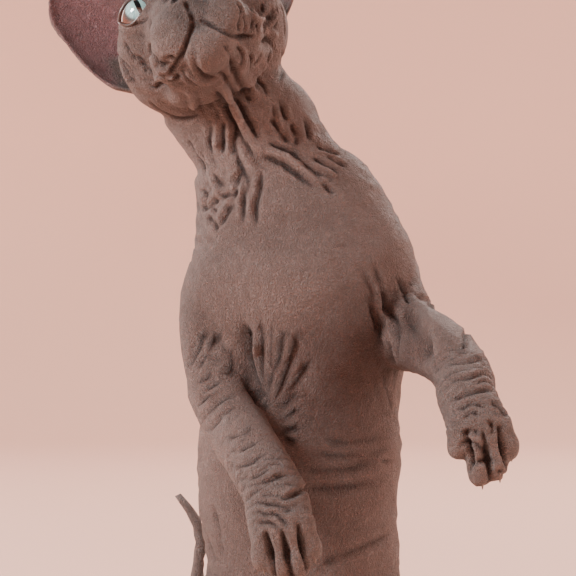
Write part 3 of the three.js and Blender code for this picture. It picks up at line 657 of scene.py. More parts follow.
# Folds seen in the photograph: each kind has a width and a height in millimetres, below 0 for a crease, and
# lines of pixels along which it runs.
folds = {
    "mouth": {"width": 0.8, "height": -2.4, "lines": [
        [(193, 12), (194, 23), (189, 37), (184, 50), (179, 60), (171, 71), (162, 75)],
        [(194, 18), (208, 24), (219, 30), (229, 35), (238, 37), (248, 37), (257, 36)],
        [(185, 0), (189, 10), (194, 22)],
    ]},
    "pad edges": {"width": 1.1, "height": -1.7, "lines": [
        [(153, 8), (150, 25), (150, 38), (149, 50), (155, 57), (157, 62), (166, 64), (176, 61)],
        [(235, 0), (242, 10), (240, 23), (239, 36)],
        [(148, 42), (150, 50), (149, 58)], [(163, 62), (170, 58), (178, 60)],
        [(154, 66), (161, 68), (168, 66)],
    ]},
    "cheek creases": {"width": 0.9, "height": -1.5, "lines": [
        [(243, 13), (245, 23), (244, 34)], [(248, 11), (253, 22), (250, 32)],
        [(254, 19), (258, 27), (257, 36)],
        [(247, 2), (252, 10), (259, 16), (262, 10)], [(262, 2), (264, 14), (272, 20)],
        [(275, 4), (277, 18), (272, 30)],
        [(279, 0), (284, 19), (285, 38)], [(117, 32), (125, 64), (138, 82)],
        [(132, 55), (142, 60), (151, 71), (160, 75)],
        [(115, 17), (119, 24), (128, 26), (142, 22), (151, 14)],
        [(148, 98), (155, 111), (164, 112), (173, 117), (190, 118), (201, 114)],
        [(262, 52), (258, 62), (252, 66)], [(120, 60), (128, 75), (137, 84)],
        [(250, 52), (252, 60), (250, 70)],
        [(258, 42), (264, 38), (270, 42), (276, 52)], [(123, 40), (130, 52), (136, 62)],
        [(146, 84), (155, 88), (160, 84), (168, 84)],
        [(158, 78), (166, 80), (176, 78), (180, 72)], [(138, 62), (144, 66), (146, 74)],
        [(272, 44), (270, 58), (264, 74)],
        [(281, 48), (282, 66), (278, 84)], [(254, 74), (262, 84), (268, 96)],
        [(118, 50), (122, 64), (130, 76)],
    ]},
    "cheek ridges": {"width": 1.5, "height": 1.5, "lines": [
        [(244, 9), (257, 19), (266, 13), (270, 0)], [(258, 32), (270, 25), (276, 13), (271, 2)],
        [(259, 40), (268, 33), (279, 37)], [(188, 88), (192, 99), (194, 111)],
        [(154, 70), (164, 72), (171, 76), (175, 74)],
        [(122, 68), (130, 80), (140, 90)], [(150, 80), (160, 78), (168, 80), (178, 76)],
    ]},
    "chin": {"width": 1.0, "height": -1.5, "lines": [
        [(192, 48), (193, 62), (198, 72), (206, 80), (213, 82)],
        [(195, 42), (195, 55), (198, 67), (203, 74), (212, 78), (221, 75)],
        [(221, 42), (229, 52), (232, 66), (230, 80)], [(218, 72), (224, 75), (228, 84)],
        [(236, 44), (243, 56), (240, 70)],
        [(181, 66), (184, 76), (192, 84), (204, 88)],
    ]},
    "throat cords": {"width": 1.7, "height": 2.3, "lines": [
        [(217, 80), (226, 92), (232, 104), (240, 120), (248, 136), (257, 153)],
        [(256, 138), (264, 149), (276, 153), (290, 160), (300, 168), (312, 178), (328, 186)],
    ]},
    "throat ridges": {"width": 1.9, "height": 1.5, "lines": [
        [(229, 118), (229, 137), (227, 154)],
        [(239, 134), (241, 149), (249, 164), (256, 177), (252, 190), (249, 204), (250, 225)],
        [(226, 159), (231, 173), (230, 185), (241, 190), (239, 204), (241, 221)],
        [(219, 118), (216, 136), (216, 152)],
        [(191, 143), (203, 157), (211, 173), (214, 185), (222, 193), (233, 188)],
        [(202, 190), (205, 201), (213, 196), (221, 193)], [(234, 197), (225, 206), (218, 221)],
        [(306, 164), (318, 174), (330, 184)], [(312, 160), (326, 170), (338, 178)],
    ]},
    "throat creases": {"width": 1.2, "height": -1.6, "lines": [
        [(261, 170), (260, 190), (256, 206), (256, 229)], [(244, 186), (244, 204), (242, 226)],
        [(236, 140), (237, 156), (243, 172), (247, 184)],
        [(218, 189), (225, 196), (234, 194)], [(207, 204), (215, 202), (218, 197)],
        [(231, 204), (225, 217), (218, 228)],
        [(214, 86), (221, 98), (227, 110), (235, 126), (243, 142), (251, 157)],
        [(200, 188), (207, 196), (204, 206), (198, 210)],
        [(224, 78), (232, 90), (238, 102), (246, 117), (254, 132), (263, 146)],
        [(236, 60), (236, 74), (242, 88), (252, 102)],
        [(262, 157), (276, 161), (290, 169), (302, 178), (316, 189)],
        [(263, 139), (275, 145), (291, 152), (304, 161), (318, 172), (334, 181)],
        [(312, 156), (325, 165), (340, 173)], [(326, 152), (337, 160), (349, 166)],
        [(304, 114), (309, 130), (310, 141)],
        [(224, 120), (223, 138), (222, 156)], [(233, 120), (234, 138), (231, 158)],
        [(213, 124), (209, 142), (212, 158)],
        [(268, 116), (280, 130), (290, 146)], [(290, 120), (295, 134), (298, 146)],
        [(240, 168), (238, 184), (236, 200)],
        [(196, 146), (206, 162), (214, 176), (222, 188)], [(186, 138), (198, 156), (206, 176)],
        [(200, 212), (210, 208), (218, 212)],
        [(300, 160), (314, 172), (326, 186), (336, 196)], [(278, 96), (284, 112), (294, 126)],
        [(316, 144), (328, 148), (342, 152)],
        [(206, 216), (214, 222), (218, 232)], [(196, 196), (198, 208), (194, 220)],
    ]},
    "armpit creases": {"width": 1.3, "height": -2.1, "lines": [
        [(260, 312), (261, 340), (261, 365), (264, 411)], [(253, 318), (251, 361), (260, 408)],
        [(272, 322), (271, 354), (267, 408)],
        [(298, 330), (288, 362), (270, 411)], [(313, 354), (295, 383), (274, 415)],
        [(303, 388), (287, 404), (275, 422)],
        [(300, 407), (284, 418), (276, 427)], [(303, 426), (287, 430), (279, 434)],
        [(298, 444), (284, 438), (278, 438)],
        [(238, 330), (240, 360), (250, 392), (262, 412)], [(207, 326), (194, 351), (190, 366)],
        [(219, 329), (205, 354), (197, 370)],
        [(283, 326), (279, 356), (269, 396)], [(246, 322), (244, 352), (252, 386)],
        [(213, 322), (200, 346), (193, 364)],
        [(360, 266), (379, 314), (390, 346), (396, 369)], [(373, 263), (384, 298), (393, 328)],
        [(366, 290), (377, 326), (386, 352)],
        [(389, 300), (396, 332), (401, 362)], [(400, 281), (411, 292), (429, 303), (441, 315)],
        [(402, 295), (412, 301), (436, 306)],
        [(429, 321), (429, 347), (436, 372)], [(395, 272), (404, 290), (412, 312)],
    ]},
    "armpit hollow": {"width": 2.9, "height": -4.2, "lines": [
        [(240, 312), (244, 336), (249, 362), (256, 386), (266, 412)],
    ]},
    "upper arm hollow": {"width": 6.0, "height": -4.6,
                         "lines": [[(400, 306), (410, 326), (420, 346), (424, 370)]]},
    "upper arm strap": {"width": 3.6, "height": 2.4, "lines": [
        [(402, 284), (414, 300), (427, 317), (436, 338), (438, 368)],
    ]},
    "armpit ridges": {"width": 2.0, "height": 1.9, "lines": [
        [(228, 332), (226, 355), (215, 377)], [(257, 322), (256, 355), (261, 395)],
        [(276, 325), (272, 357), (268, 385)],
        [(373, 285), (386, 325), (393, 349)], [(292, 330), (283, 360), (270, 398)],
    ]},
    "belly creases": {"width": 1.8, "height": -1.3, "lines": [
        [(298, 472), (337, 470), (380, 461)], [(318, 440), (352, 443), (386, 436)],
        [(306, 452), (345, 456), (392, 448)],
        [(400, 528), (345, 555), (318, 565)], [(205, 530), (218, 570)],
        [(300, 490), (340, 488), (386, 478)], [(212, 500), (218, 530), (224, 560)],
    ]},
    "foreleg rings": {"width": 1.0, "height": -1.7, "lines": [
        [(197, 409), (206, 397), (223, 388)], [(201, 426), (209, 411), (228, 397), (240, 396)],
        [(211, 434), (219, 417), (236, 408)],
        [(193, 392), (202, 380), (218, 372)], [(198, 400), (208, 388), (226, 380)],
        [(206, 432), (216, 424), (226, 412)],
        [(231, 469), (249, 463), (268, 453)], [(237, 480), (254, 476), (276, 465)],
        [(240, 491), (260, 483), (274, 479), (292, 475)],
        [(249, 503), (266, 503), (286, 506), (303, 503)], [(254, 509), (269, 514), (284, 511), (296, 510)],
        [(254, 523), (271, 523), (283, 531)], [(266, 508), (283, 520), (289, 529)],
        [(274, 503), (294, 494), (306, 488)],
        [(226, 452), (244, 448), (262, 440)], [(222, 440), (240, 434), (256, 426)],
        [(447, 364), (466, 362), (488, 361)],
        [(453, 400), (466, 395), (496, 392)], [(444, 352), (462, 348), (482, 348)],
        [(448, 380), (466, 378), (490, 376)],
        [(458, 412), (470, 404), (488, 408)], [(462, 420), (472, 412), (480, 414)],
        [(490, 402), (500, 408), (508, 418)],
        [(456, 446), (469, 442), (481, 448), (484, 457), (476, 458)], [(468, 464), (484, 461), (502, 460)],
        [(462, 434), (472, 430), (480, 434)],
        [(486, 420), (493, 426), (490, 436)], [(496, 470), (504, 474), (510, 468)],
    ]},
}

# The points in the box that holds a line, with room all round
def aroundLine(line, room):
    return np.flatnonzero(((points > line.min(0) - room) & (points < line.max(0) + room)).all(1))


# For each place: which spot of the line is nearest, and how far it is. A squared distance is the square of
# one place less twice the product of both, plus the square of the other.
def nearestOn(line, places):
    middle = line.mean(0)
    here, spots = places - middle, line - middle
    away = (here**2).sum(1)[:, None] - 2 * here @ spots.T + (spots**2).sum(1)
    nearest = away.argmin(1)
    return nearest, np.sqrt(np.maximum(away[np.arange(len(here)), nearest], 0))


# Adds one fold to the heights: a narrow and a wide bell across the line, with a smaller lip of the other
# sign on both sides. A sine along the line makes it swell and thin, and it fades out towards the ends.
def addFold(heights, line, width, height, lip=0.3, taper=0.26):
    chosen = aroundLine(line, 5 * width)
    nearest, distance = nearestOn(line, points[chosen])
    distance = distance / width
    share = nearest / (len(line) - 1)
    ends = softStep(np.minimum(share, 1 - share), -0.02, taper)
    swing = 1 + 0.35 * np.sin(share * 9 + line[0].sum())
    bell = 0.75 * np.exp(-(distance**2)) + 0.35 * np.exp(-((distance / 2.6) ** 2))
    heights[chosen] += height * ends * swing * (bell - lip * np.exp(-(((distance - 2.4) / 1.1) ** 2)))


# Valleys between neighbouring toes, over the back of the paw, round the tips and under them
toeGaps = {"width": 0.8, "height": -3.4}


def toeValleys(toes):
    valleys = []
    for first, second in zip(toes[:-1], toes[1:]):
        for face in (-1, 1):
            spots = []
            for share, sink in ((0.05, 0.9), (0.3, 1.0), (0.6, 1.0), (0.9, 0.9), (1.15, 0.3)):
                pair = [toe["root"] + toe["way"] * share * toe["length"] + toe["under"] * toe["radius"] * (
                    face * sink + 0.6 * max(share - 0.5, 0)) for toe in (first, second)]
                spots.append((pair[0] + pair[1]) / 2)
            valleys.append(overSkin(np.array(spots), skinTree, 0.6))
    return valleys


heights = np.zeros(len(points))
for toes in (foreToesOf(forelegs["left"]), foreToesOf(forelegs["right"]), hindToesOf(1), hindToesOf(-1)):
    for valley in toeValleys(toes):
        addFold(heights, valley, toeGaps["width"], toeGaps["height"], lip=0.15, taper=0.12)
for kind in folds.values():
    for pixels in kind["lines"]:
        addFold(heights, overSkin(fromPhoto(pixels, skinTree), skinTree), kind["width"], kind["height"])
print("skin: folds of the photograph")


# Smooth noise from -1 to 1: hashed values at whole places, blended between them by a quintic step.
def noiseOf(places, seed=0):
    whole = np.floor(places).astype(np.int64)
    part = places - whole
    part = part * part * part * (part * (part * 6 - 15) + 10)
    total = np.zeros(len(places))
    for corner in range(8):
        step = np.array([corner & 1, corner >> 1 & 1, corner >> 2 & 1])
        key = ((whole + step) * np.array([73856093, 19349663, 83492791])).sum(1) + seed * 7919
        key = (key ^ (key >> 13)) * 1274126177 & 0xFFFFFFFF
        value = ((key ^ (key >> 16)) & 0xFFFF) / 32767.5 - 1
        total += value * np.prod(np.where(step, part, 1 - part), axis=1)
    return total


# Fields of loose wrinkles: parallel creases across an axis, bent and broken up by noise, that fade out from
# a middle. Spacing, height and reach are in millimetres.
wrinkles = [
    {"at": (-18, 45, 330), "reach": 34, "axis": (0.2, 0.2, 1), "spacing": 9, "height": 1.6},
    {"at": (0, 52, 285), "reach": 40, "axis": (0.1, 0, 1), "spacing": 12, "height": 1.3},
    {"at": (28, 6, 340), "reach": 26, "axis": (0.5, 0, 1), "spacing": 8, "height": 1.5},
    {"at": (60, -5, 268), "reach": 26, "axis": (0.6, 0.3, -0.7), "spacing": 9, "height": 1.3},
    {"at": (-62, -2, 268), "reach": 26, "axis": (-0.6, 0.3, -0.7), "spacing": 9, "height": 1.3},
    {"at": (48, -22, 208), "reach": 24, "axis": (1, 0.3, 0.4), "spacing": 7.5, "height": 1.8},
    {"at": (-44, -26, 200), "reach": 20, "axis": (0.8, 0.3, 0.5), "spacing": 7, "height": 1.2},
    {"at": (-20, -30, 335), "reach": 26, "axis": (1, -0.2, 0.25), "spacing": 6, "height": 0.8},
    {"at": (-62, -40, 368), "reach": 22, "axis": (0.3, 0, 1), "spacing": 5, "height": 0.7},
    {"at": (0, -40, 372), "reach": 20, "axis": (1, 0, 0.1), "spacing": 5, "height": 0.7},
    {"at": (56, 10, 150), "reach": 40, "axis": (0.1, 0.3, 1), "spacing": 15, "height": 1.2},
    {"at": (-56, 10, 150), "reach": 40, "axis": (-0.1, 0.3, 1), "spacing": 15, "height": 1.2},
    {"at": (62, 12, 92), "reach": 30, "axis": (0.2, -0.5, 0.9), "spacing": 9, "height": 1.6},
    {"at": (-62, 12, 92), "reach": 30, "axis": (-0.2, -0.5, 0.9), "spacing": 9, "height": 1.6},
    {"at": (60, 12, 24), "reach": 20, "axis": (0, 1, -0.5), "spacing": 6, "height": 1.2},
    {"at": (-60, 12, 24), "reach": 20, "axis": (0, 1, -0.5), "spacing": 6, "height": 1.2},
    {"at": (0, 62, 18), "reach": 24, "axis": (0, 1, -0.3), "spacing": 6, "height": 1.1},
    {"at": (0, 66, 60), "reach": 34, "axis": (0, 0.2, 1), "spacing": 11, "height": 1.0},
]
for index, patch in enumerate(wrinkles):
    fade = near(patch["at"], patch["reach"])
    chosen = np.flatnonzero(fade > 0.03)
    here = points[chosen]
    bend = 0.75 * noiseOf(here / 26, index) + 0.3 * noiseOf(here / 11, index + 40)
    phase = here @ unit(np.array(patch["axis"], float)) / patch["spacing"] + bend
    crest = np.cos(2 * np.pi * phase)
    broken = softStep(noiseOf(here / (1.6 * patch["spacing"]), index + 80), -0.55, 0.35)
    heights[chosen] += patch["height"] * fade[chosen] * broken * (np.abs(crest) ** 1.5 * np.sign(crest) - 0.3)


# Rings of fine folds round a leg or the tail: creases across its path, a few millimetres apart, bent by
# noise and thinned where they start and end along it.
legRings = [
    {"path": forelegs[name]["upperArm"][1:3] + forelegs[name]["forearm"][:3] + forelegs[name]["paw"],
     "reach": 23, "spacing": 4.4, "height": 1.15, "fade": (0.0, 0.12, 0.85, 1.0)} for name in sides
]
legRings += [{"path": forSide(hindLeg["shank"], side) + forSide(hindLeg["foot"], side)[1:], "reach": 17,
              "spacing": 5.0, "height": 0.55, "fade": (0.1, 0.3, 0.9, 1.0)} for side in (1, -1)]
legRings += [{"path": tail, "reach": 16, "spacing": 4.2, "height": 0.28, "fade": (0.05, 0.15, 0.9, 1.0)}]
ringGroove = {"width": 0.34, "lift": 0.3}
for index, ring in enumerate(legRings):
    spots = smoothCurve([place[:3] for place in ring["path"]], np.linspace(0, 1, 160))
    run = np.concatenate([[0], np.cumsum(np.linalg.norm(np.diff(spots, axis=0), axis=1))])
    chosen = aroundLine(spots, ring["reach"])
    here = points[chosen]
    nearest, distance = nearestOn(spots, here)
    share = run[nearest] / run[-1]
    bend = 0.85 * noiseOf(here / 15, index + 200) + 0.4 * noiseOf(here / 6.5, index + 240)
    crest = np.cos(2 * np.pi * (run[nearest] / ring["spacing"] + bend))
    broken = softStep(noiseOf(here / 8.5, index + 280), -0.8, 0.15)
    fade = softStep(share, *ring["fade"][:2]) * (1 - softStep(share,
        *ring["fade"][2:])) * (distance < ring["reach"])
    groove = ringGroove["lift"] - np.exp(-(((1 - crest) / ringGroove["width"]) ** 2))
    heights[chosen] += ring["height"] * fade * broken * groove

# A soft hollow at the back of the shoulder, where the neck meets it
shoulderHollow = {"at": (20, 6, 334), "reach": 26, "height": -6}
heights += shoulderHollow["height"] * near(shoulderHollow["at"], shoulderHollow["reach"])

# Low random relief, so that no part of the skin is perfectly smooth: long lazy folds and small puckers
puckers = {"lazy": 0.35, "small": 0.22}
lazyFolds = puckers["lazy"] * noiseOf(points / (16, 16, 9), 301)
heights += lazyFolds + puckers["small"] * noiseOf(points / 4.2, 302)

# Creases given as points of the head's own frame, or of an ear as shares across and up its cup
headFolds = {
    "forehead": {"width": 1.8, "height": -1.6, "lines": [
        [(3, -36, 22), (4, -26, 30), (4, -12, 36)], [(-3, -36, 22), (-4, -26, 30), (-5, -12, 36)],
        [(9, -35, 21), (11, -25, 30), (12, -12, 35)], [(-9, -35, 21), (-11, -25, 30), (-12, -12, 35)],
        [(15, -32, 20), (18, -22, 28), (19, -10, 32)], [(-15, -32, 20), (-18, -22, 28), (-19, -10, 32)],
        [(0, -34, 24), (0, -24, 31), (0, -14, 36)],
    ]},
    "brows": {"width": 2.0, "height": -1.5, "lines": [
        [(12, -42, 10), (18, -40, 17), (27, -36, 19), (36, -28, 15), (40, -22, 8)],
        [(-12, -42, 10), (-18, -40, 17), (-27, -36, 19), (-36, -28, 15), (-40, -22, 8)],
    ]},
    "nose": {"width": 1.2, "height": -0.9, "lines": [
        [(8, -60, -12), (10, -54, -8), (11, -48, -2), (12, -42, 4)],
        [(-8, -60, -12), (-10, -54, -8), (-11, -48, -2), (-12, -42, 4)],
    ]},
    "nape": {"width": 2.2, "height": -1.8, "lines": [
        [(-26, 32, 10), (0, 40, 8), (26, 32, 10)], [(-24, 34, -2), (0, 42, -4), (24, 34, -2)],
    ]},
}
for kind in headFolds.values():
    for spots in kind["lines"]:
        addFold(heights, overSkin(fromHead(spots), skinTree), kind["width"], kind["height"])
earFolds = {"width": 1.6, "height": 1.1, "lines": [
    [(0.30, 0.10), (0.32, 0.35), (0.38, 0.62)], [(0.46, 0.08), (0.48, 0.3), (0.5, 0.55)],
    [(0.63, 0.1), (0.62, 0.3), (0.60, 0.5)], [(0.92, 0.12), (0.86, 0.2), (0.9, 0.33)],
]}
for spots in earFolds["lines"]:
    share = smoothCurve([(*s, 0) for s in spots], np.linspace(0, 1, 60))
    for side in (1, -1):
        line = fromHead(earCup(share[:, 0], share[:, 1]) * (side, 1, 1))
        addFold(heights, line, earFolds["width"], earFolds["height"])

points = points + normals * (heights * (1 - 0.85 * onEyes * (np.abs(heights) > 0)))[:, None]
points = relax(points, 0.35, 2)

# Nostrils: pits pushed straight into the nose.
nostril = {"at": (4.1, -62, -18.4), "radii": (2.6, 5.0, 1.7), "depth": 3.4}
local = toHead(points)
pitAndShade = np.zeros(len(points))
for side in (1, -1):
    offset = (local - np.array(nostril["at"]) * (side, 1, 1)) / nostril["radii"]
    pitAndShade = np.maximum(pitAndShade, np.exp(-((offset**2).sum(1) ** 1.5)))
points = points + (headTurn @ np.array([0, 1.0, 0])) * (pitAndShade * nostril["depth"])[:, None]
points[:, 2] = np.maximum(points[:, 2], 0)
normals = normalsOf(points)

# How far each point stands out from a smoothed copy of the skin: above 0 on ridges, below 0 in creases.
standing = ((points - relax(points, smoothing["amount"], smoothing["broad"])) * normals).sum(1)
fineStanding = ((points - relax(points, smoothing["amount"], smoothing["fine"])) * normals).sum(1)
cupWay = headTurn @ unit(np.array(ear["way"]))
inEar = onEars * softStep(-(normals @ cupWay), 0.0, 0.5)
paws = sum(near(leg["paw"][1][:3], 26) for leg in forelegs.values())
greyTone = near(fromHead((0, -52, -22)), 24) * 1.4 + onToes + onTail * 0.8 + onEars * (1 - inEar) * 0.6 + paws
greyTone = np.clip(greyTone, 0, 1)

# Painted light and painted shade: where the skin is painted paler as if lit (upper arm, forearm, breast,
# throat) and painted darker as shade (chest, belly, the pits of both arms, cheek, chin): a place, a reach and
# a weight each
paintedLightSpots = [((-40, -30, 190), 30, 0.7), ((-20, -80, 168), 28, 0.9), ((-8, -55, 246), 26, 0.8),
             ((-28, -30, 330), 34, 0.8)]
shadeSpots = [((20, -50, 216), 36, 1), ((16, -50, 172), 40, 1), ((57, -62, 222), 13, 1),
              ((-26, -45, 210), 11, 1), (fromHead((22, -40, -26)), 20, 0.6),
              (fromHead((0, -30, -46)), 14, 0.5)]


def spotted(spots):
    return np.clip(sum(near(place, reach) * weight for place, reach, weight in spots), 0, 1)


pads = sum(near(np.array(leg["paw"][-1][:3]) + foreToesOf(leg)[0]["under"] * 11,
                8) for leg in forelegs.values())
# Tones for the paint: besides the skin's own colours (grey, ear cup, pads), painted shade in creases, fine
# creases and nostril pits, painted light on ridges, painted light and shade in patches, and painted shade
# over the muzzle
tones = {
    "creaseShade": np.clip(-standing / 1.3, 0, 1), "ridgeLight": np.clip(standing / 1.6, 0, 1),
    "fine": np.clip(0.5 - fineStanding / 0.5, 0, 1), "earCup": inEar, "grey": greyTone,
    "paintedLight": spotted(paintedLightSpots),
    "shade": spotted(shadeSpots), "muzzleGreyAndShade": near(fromHead((7, -54, -18)), 21),
    "pitAndShade": np.clip(pitAndShade * 1.3, 0, 1), "pad": np.clip(pads, 0, 1),
}

print("skin: thinning")
skin = addMesh("skin", points, [quads])
for name, values in tones.items():
    addAttribute(skin, name, values)
detailed = near(fromHead((0, -20, -10)), 70) * 0.9 + near((0, -40, 300), 50) * 0.7 + onToes * 0.8 + paws * 0.5
detailed = np.clip(detailed + onEars * 0.4 + 0.1, 0, 1)
group = skin.vertex_groups.new(name="detail")
levels = np.round(detailed * 8).astype(int)
for level in range(9):
    group.add(np.flatnonzero(levels == level).tolist(), 1 - level / 8, "REPLACE")
thin = skin.modifiers.new("thin", "DECIMATE")
thin.ratio = remesh["triangles"] / (2 * len(quads))
thin.vertex_group = "detail"
thin.vertex_group_factor = 1.0
thin.use_collapse_triangulate = True
thinned = bpy.data.meshes.new_from_object(skin.evaluated_get(bpy.context.evaluated_depsgraph_get()))
skin.modifiers.clear()
skin.data = thinned
skin.vertex_groups.clear()
skin.data.polygons.foreach_set("use_smooth", np.ones(len(skin.data.polygons), bool))
print("skin:", len(skin.data.polygons), "triangles")

# The skin's finish: grey-brown with painted shade in creases and painted light on ridges, painted light on
# parts of the arms, breast and throat, painted shade dark and warm down the middle of the chest, grey on paws
# and tail, near black on the muzzle from its own dark grey and painted shade, pink in the ears
hide = Paint("hairlessSkin", {
    "Specular IOR Level": 0.35, "Subsurface Weight": 0.08, "Subsurface Radius": (0.003, 0.0012, 0.0007),
    "Subsurface Scale": 1.0, "Sheen Weight": 0.1, "Sheen Roughness": 0.5, "Sheen Tint": (1, 0.93, 0.9, 1),
})
where = hide.place()
blotch = hide.noise(where, 20, 3, 0.6)
mottle = hide.noise(where, 110, 4, 0.65, 0.4)
freckle = hide.noise(where, 900, 3, 0.6)
creaseShade, ridgeLight, fine = (hide.attribute(name) for name in ("creaseShade", "ridgeLight", "fine"))
grey, paintedLight, earCupTone = (hide.attribute(name) for name in ("grey", "paintedLight", "earCup"))
colour = hide.mix(blotch.step(0.35, 0.65), (0.070, 0.046, 0.040), (0.098, 0.070, 0.063))
# Painted light: paler patches on the arm, breast and throat where light falls
colour = hide.mix(paintedLight * 0.7, colour, (0.20, 0.152, 0.138))
# Painted shade: dark warm patches down the chest and belly, in the arm pits, on the cheek and chin
colour = hide.mix(hide.attribute("shade") * 0.7, colour, (0.036, 0.015, 0.011))
colour = hide.mix(grey * mottle.step(0.1, 0.5), colour, (0.088, 0.074, 0.070))
# The muzzle darkened towards near black: partly its own dark grey, partly painted shade
colour = hide.mix(hide.attribute("muzzleGreyAndShade").step(0.1, 0.8) * 0.85, colour, (0.024, 0.020, 0.019))
colour = hide.mix(earCupTone, colour, hide.mix(mottle, (0.10, 0.036, 0.042), (0.18, 0.082, 0.086)))
colour = hide.mix(mottle.step(0.52, 0.75) * 0.35, colour, (0.062, 0.037, 0.032))
# Painted light: ridges of the folds made paler
colour = hide.mix(ridgeLight * 0.5, colour, (0.23, 0.18, 0.165))
# Painted shade: creases and fine creases darkened towards black
colour = hide.mix((creaseShade * 0.8 + fine.step(0.55, 0.95) * 0.45).clip(), colour, (0.020, 0.009, 0.007))
colour = hide.mix(freckle.step(0.56, 0.7) * 0.2, colour, (0.25, 0.21, 0.20))
# Painted shade: the insides of the nostril pits darkened towards black
colour = hide.mix(hide.attribute("pitAndShade"), colour, (0.012, 0.008, 0.008))
colour = hide.mix(hide.attribute("pad") * 0.6, colour, (0.04, 0.028, 0.026))
# Fine wrinkles are the lines where stretched noise crosses its middle value, in three directions.
grooves = {"width": 0.07, "floor": 0.15, "fields": [((1, 1, 2.8), 150), ((2.4, 1, 1.2), 170),
                                                    ((1, 1.6, 1), 260)]}
wrinkle = 1.0
for scale, size in grooves["fields"]:
    line = hide.noise(hide.place(scale), size, 3, 0.55, 0.9)
    beside = (line - 0.5).size().step(0.0, grooves["width"])
    wrinkle = wrinkle * (grooves["floor"] + (1 - grooves["floor"]) * beside)
grain = hide.cells(where, 900).step(0.0, 0.3)
pores = hide.noise(where, 1300, 2, 0.6)
relief = wrinkle * 1.0 + grain * 0.22 + pores * 0.35 + mottle * 0.9
hide.wear(Base_Color=colour, Roughness=0.68 - mottle * 0.16 - earCupTone * 0.05,
          Normal=hide.bump(relief, 0.9, 0.0012))
skin.data.materials.clear()
skin.data.materials.append(hide.material)
fleshNodes = ["torso", "neck", "head", "tail_root", "tail_middle", "tail_tip"]
fleshNodes += [f"{part}_{sideName}" for sideName in sides
               for part in ("ear", "upper_arm", "forearm", "forepaw", "thigh", "shank", "hind_foot")]
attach(skin, "root")
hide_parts(*fleshNodes)

# Eyes: a ball with the clear front bulging out of it, iris and pupil painted from each point's place
print("eyes")
iris = {"bulge": 1.1, "spread": 0.5, "edge": 0.67, "slitWidth": 0.115, "slitHeight": 0.60}
wet = Paint("wetEye", {"Roughness": 0.04, "Specular IOR Level": 0.6, "Coat Weight": 1.0,
                       "Coat Roughness": 0.02})
offX, offY = wet.attribute("offX"), wet.attribute("offY")
spread = (offX * offX + offY * offY) ** 0.5
rays = wet.noise(wet.node("ShaderNodeCombineXYZ", {}, {
    0: offX / (spread + 0.02) * 2.4, 1: offY / (spread + 0.02) * 2.4, 2: spread * 1.2}), 3.2, 4, 0.6)
slit = ((offX / iris["slitWidth"]) * (offX / iris["slitWidth"])
        + (offY / iris["slitHeight"]) * (offY / iris["slitHeight"])) ** 0.5
tint = wet.mix(rays.step(0.35, 0.68), (0.14, 0.33, 0.36), (0.36, 0.60, 0.62))
tint = wet.mix(1 - spread.step(0.12, 0.42), tint, (0.24, 0.44, 0.44))
# The iris's own dark rim, set wide so that it also stands for the lids' shade over the iris's edge: partly
# real colour, partly painted shade
tint = wet.mix(spread.step(iris["edge"] - 0.14, iris["edge"]), tint, (0.030, 0.042, 0.046))
tint = wet.mix(spread.step(iris["edge"] + 0.02, iris["edge"] + 0.12), tint, (0.085, 0.035, 0.027))
tint = wet.mix(1 - slit.step(0.9, 1.04), tint, (0.004, 0.004, 0.005))
wet.wear(Base_Color=tint)

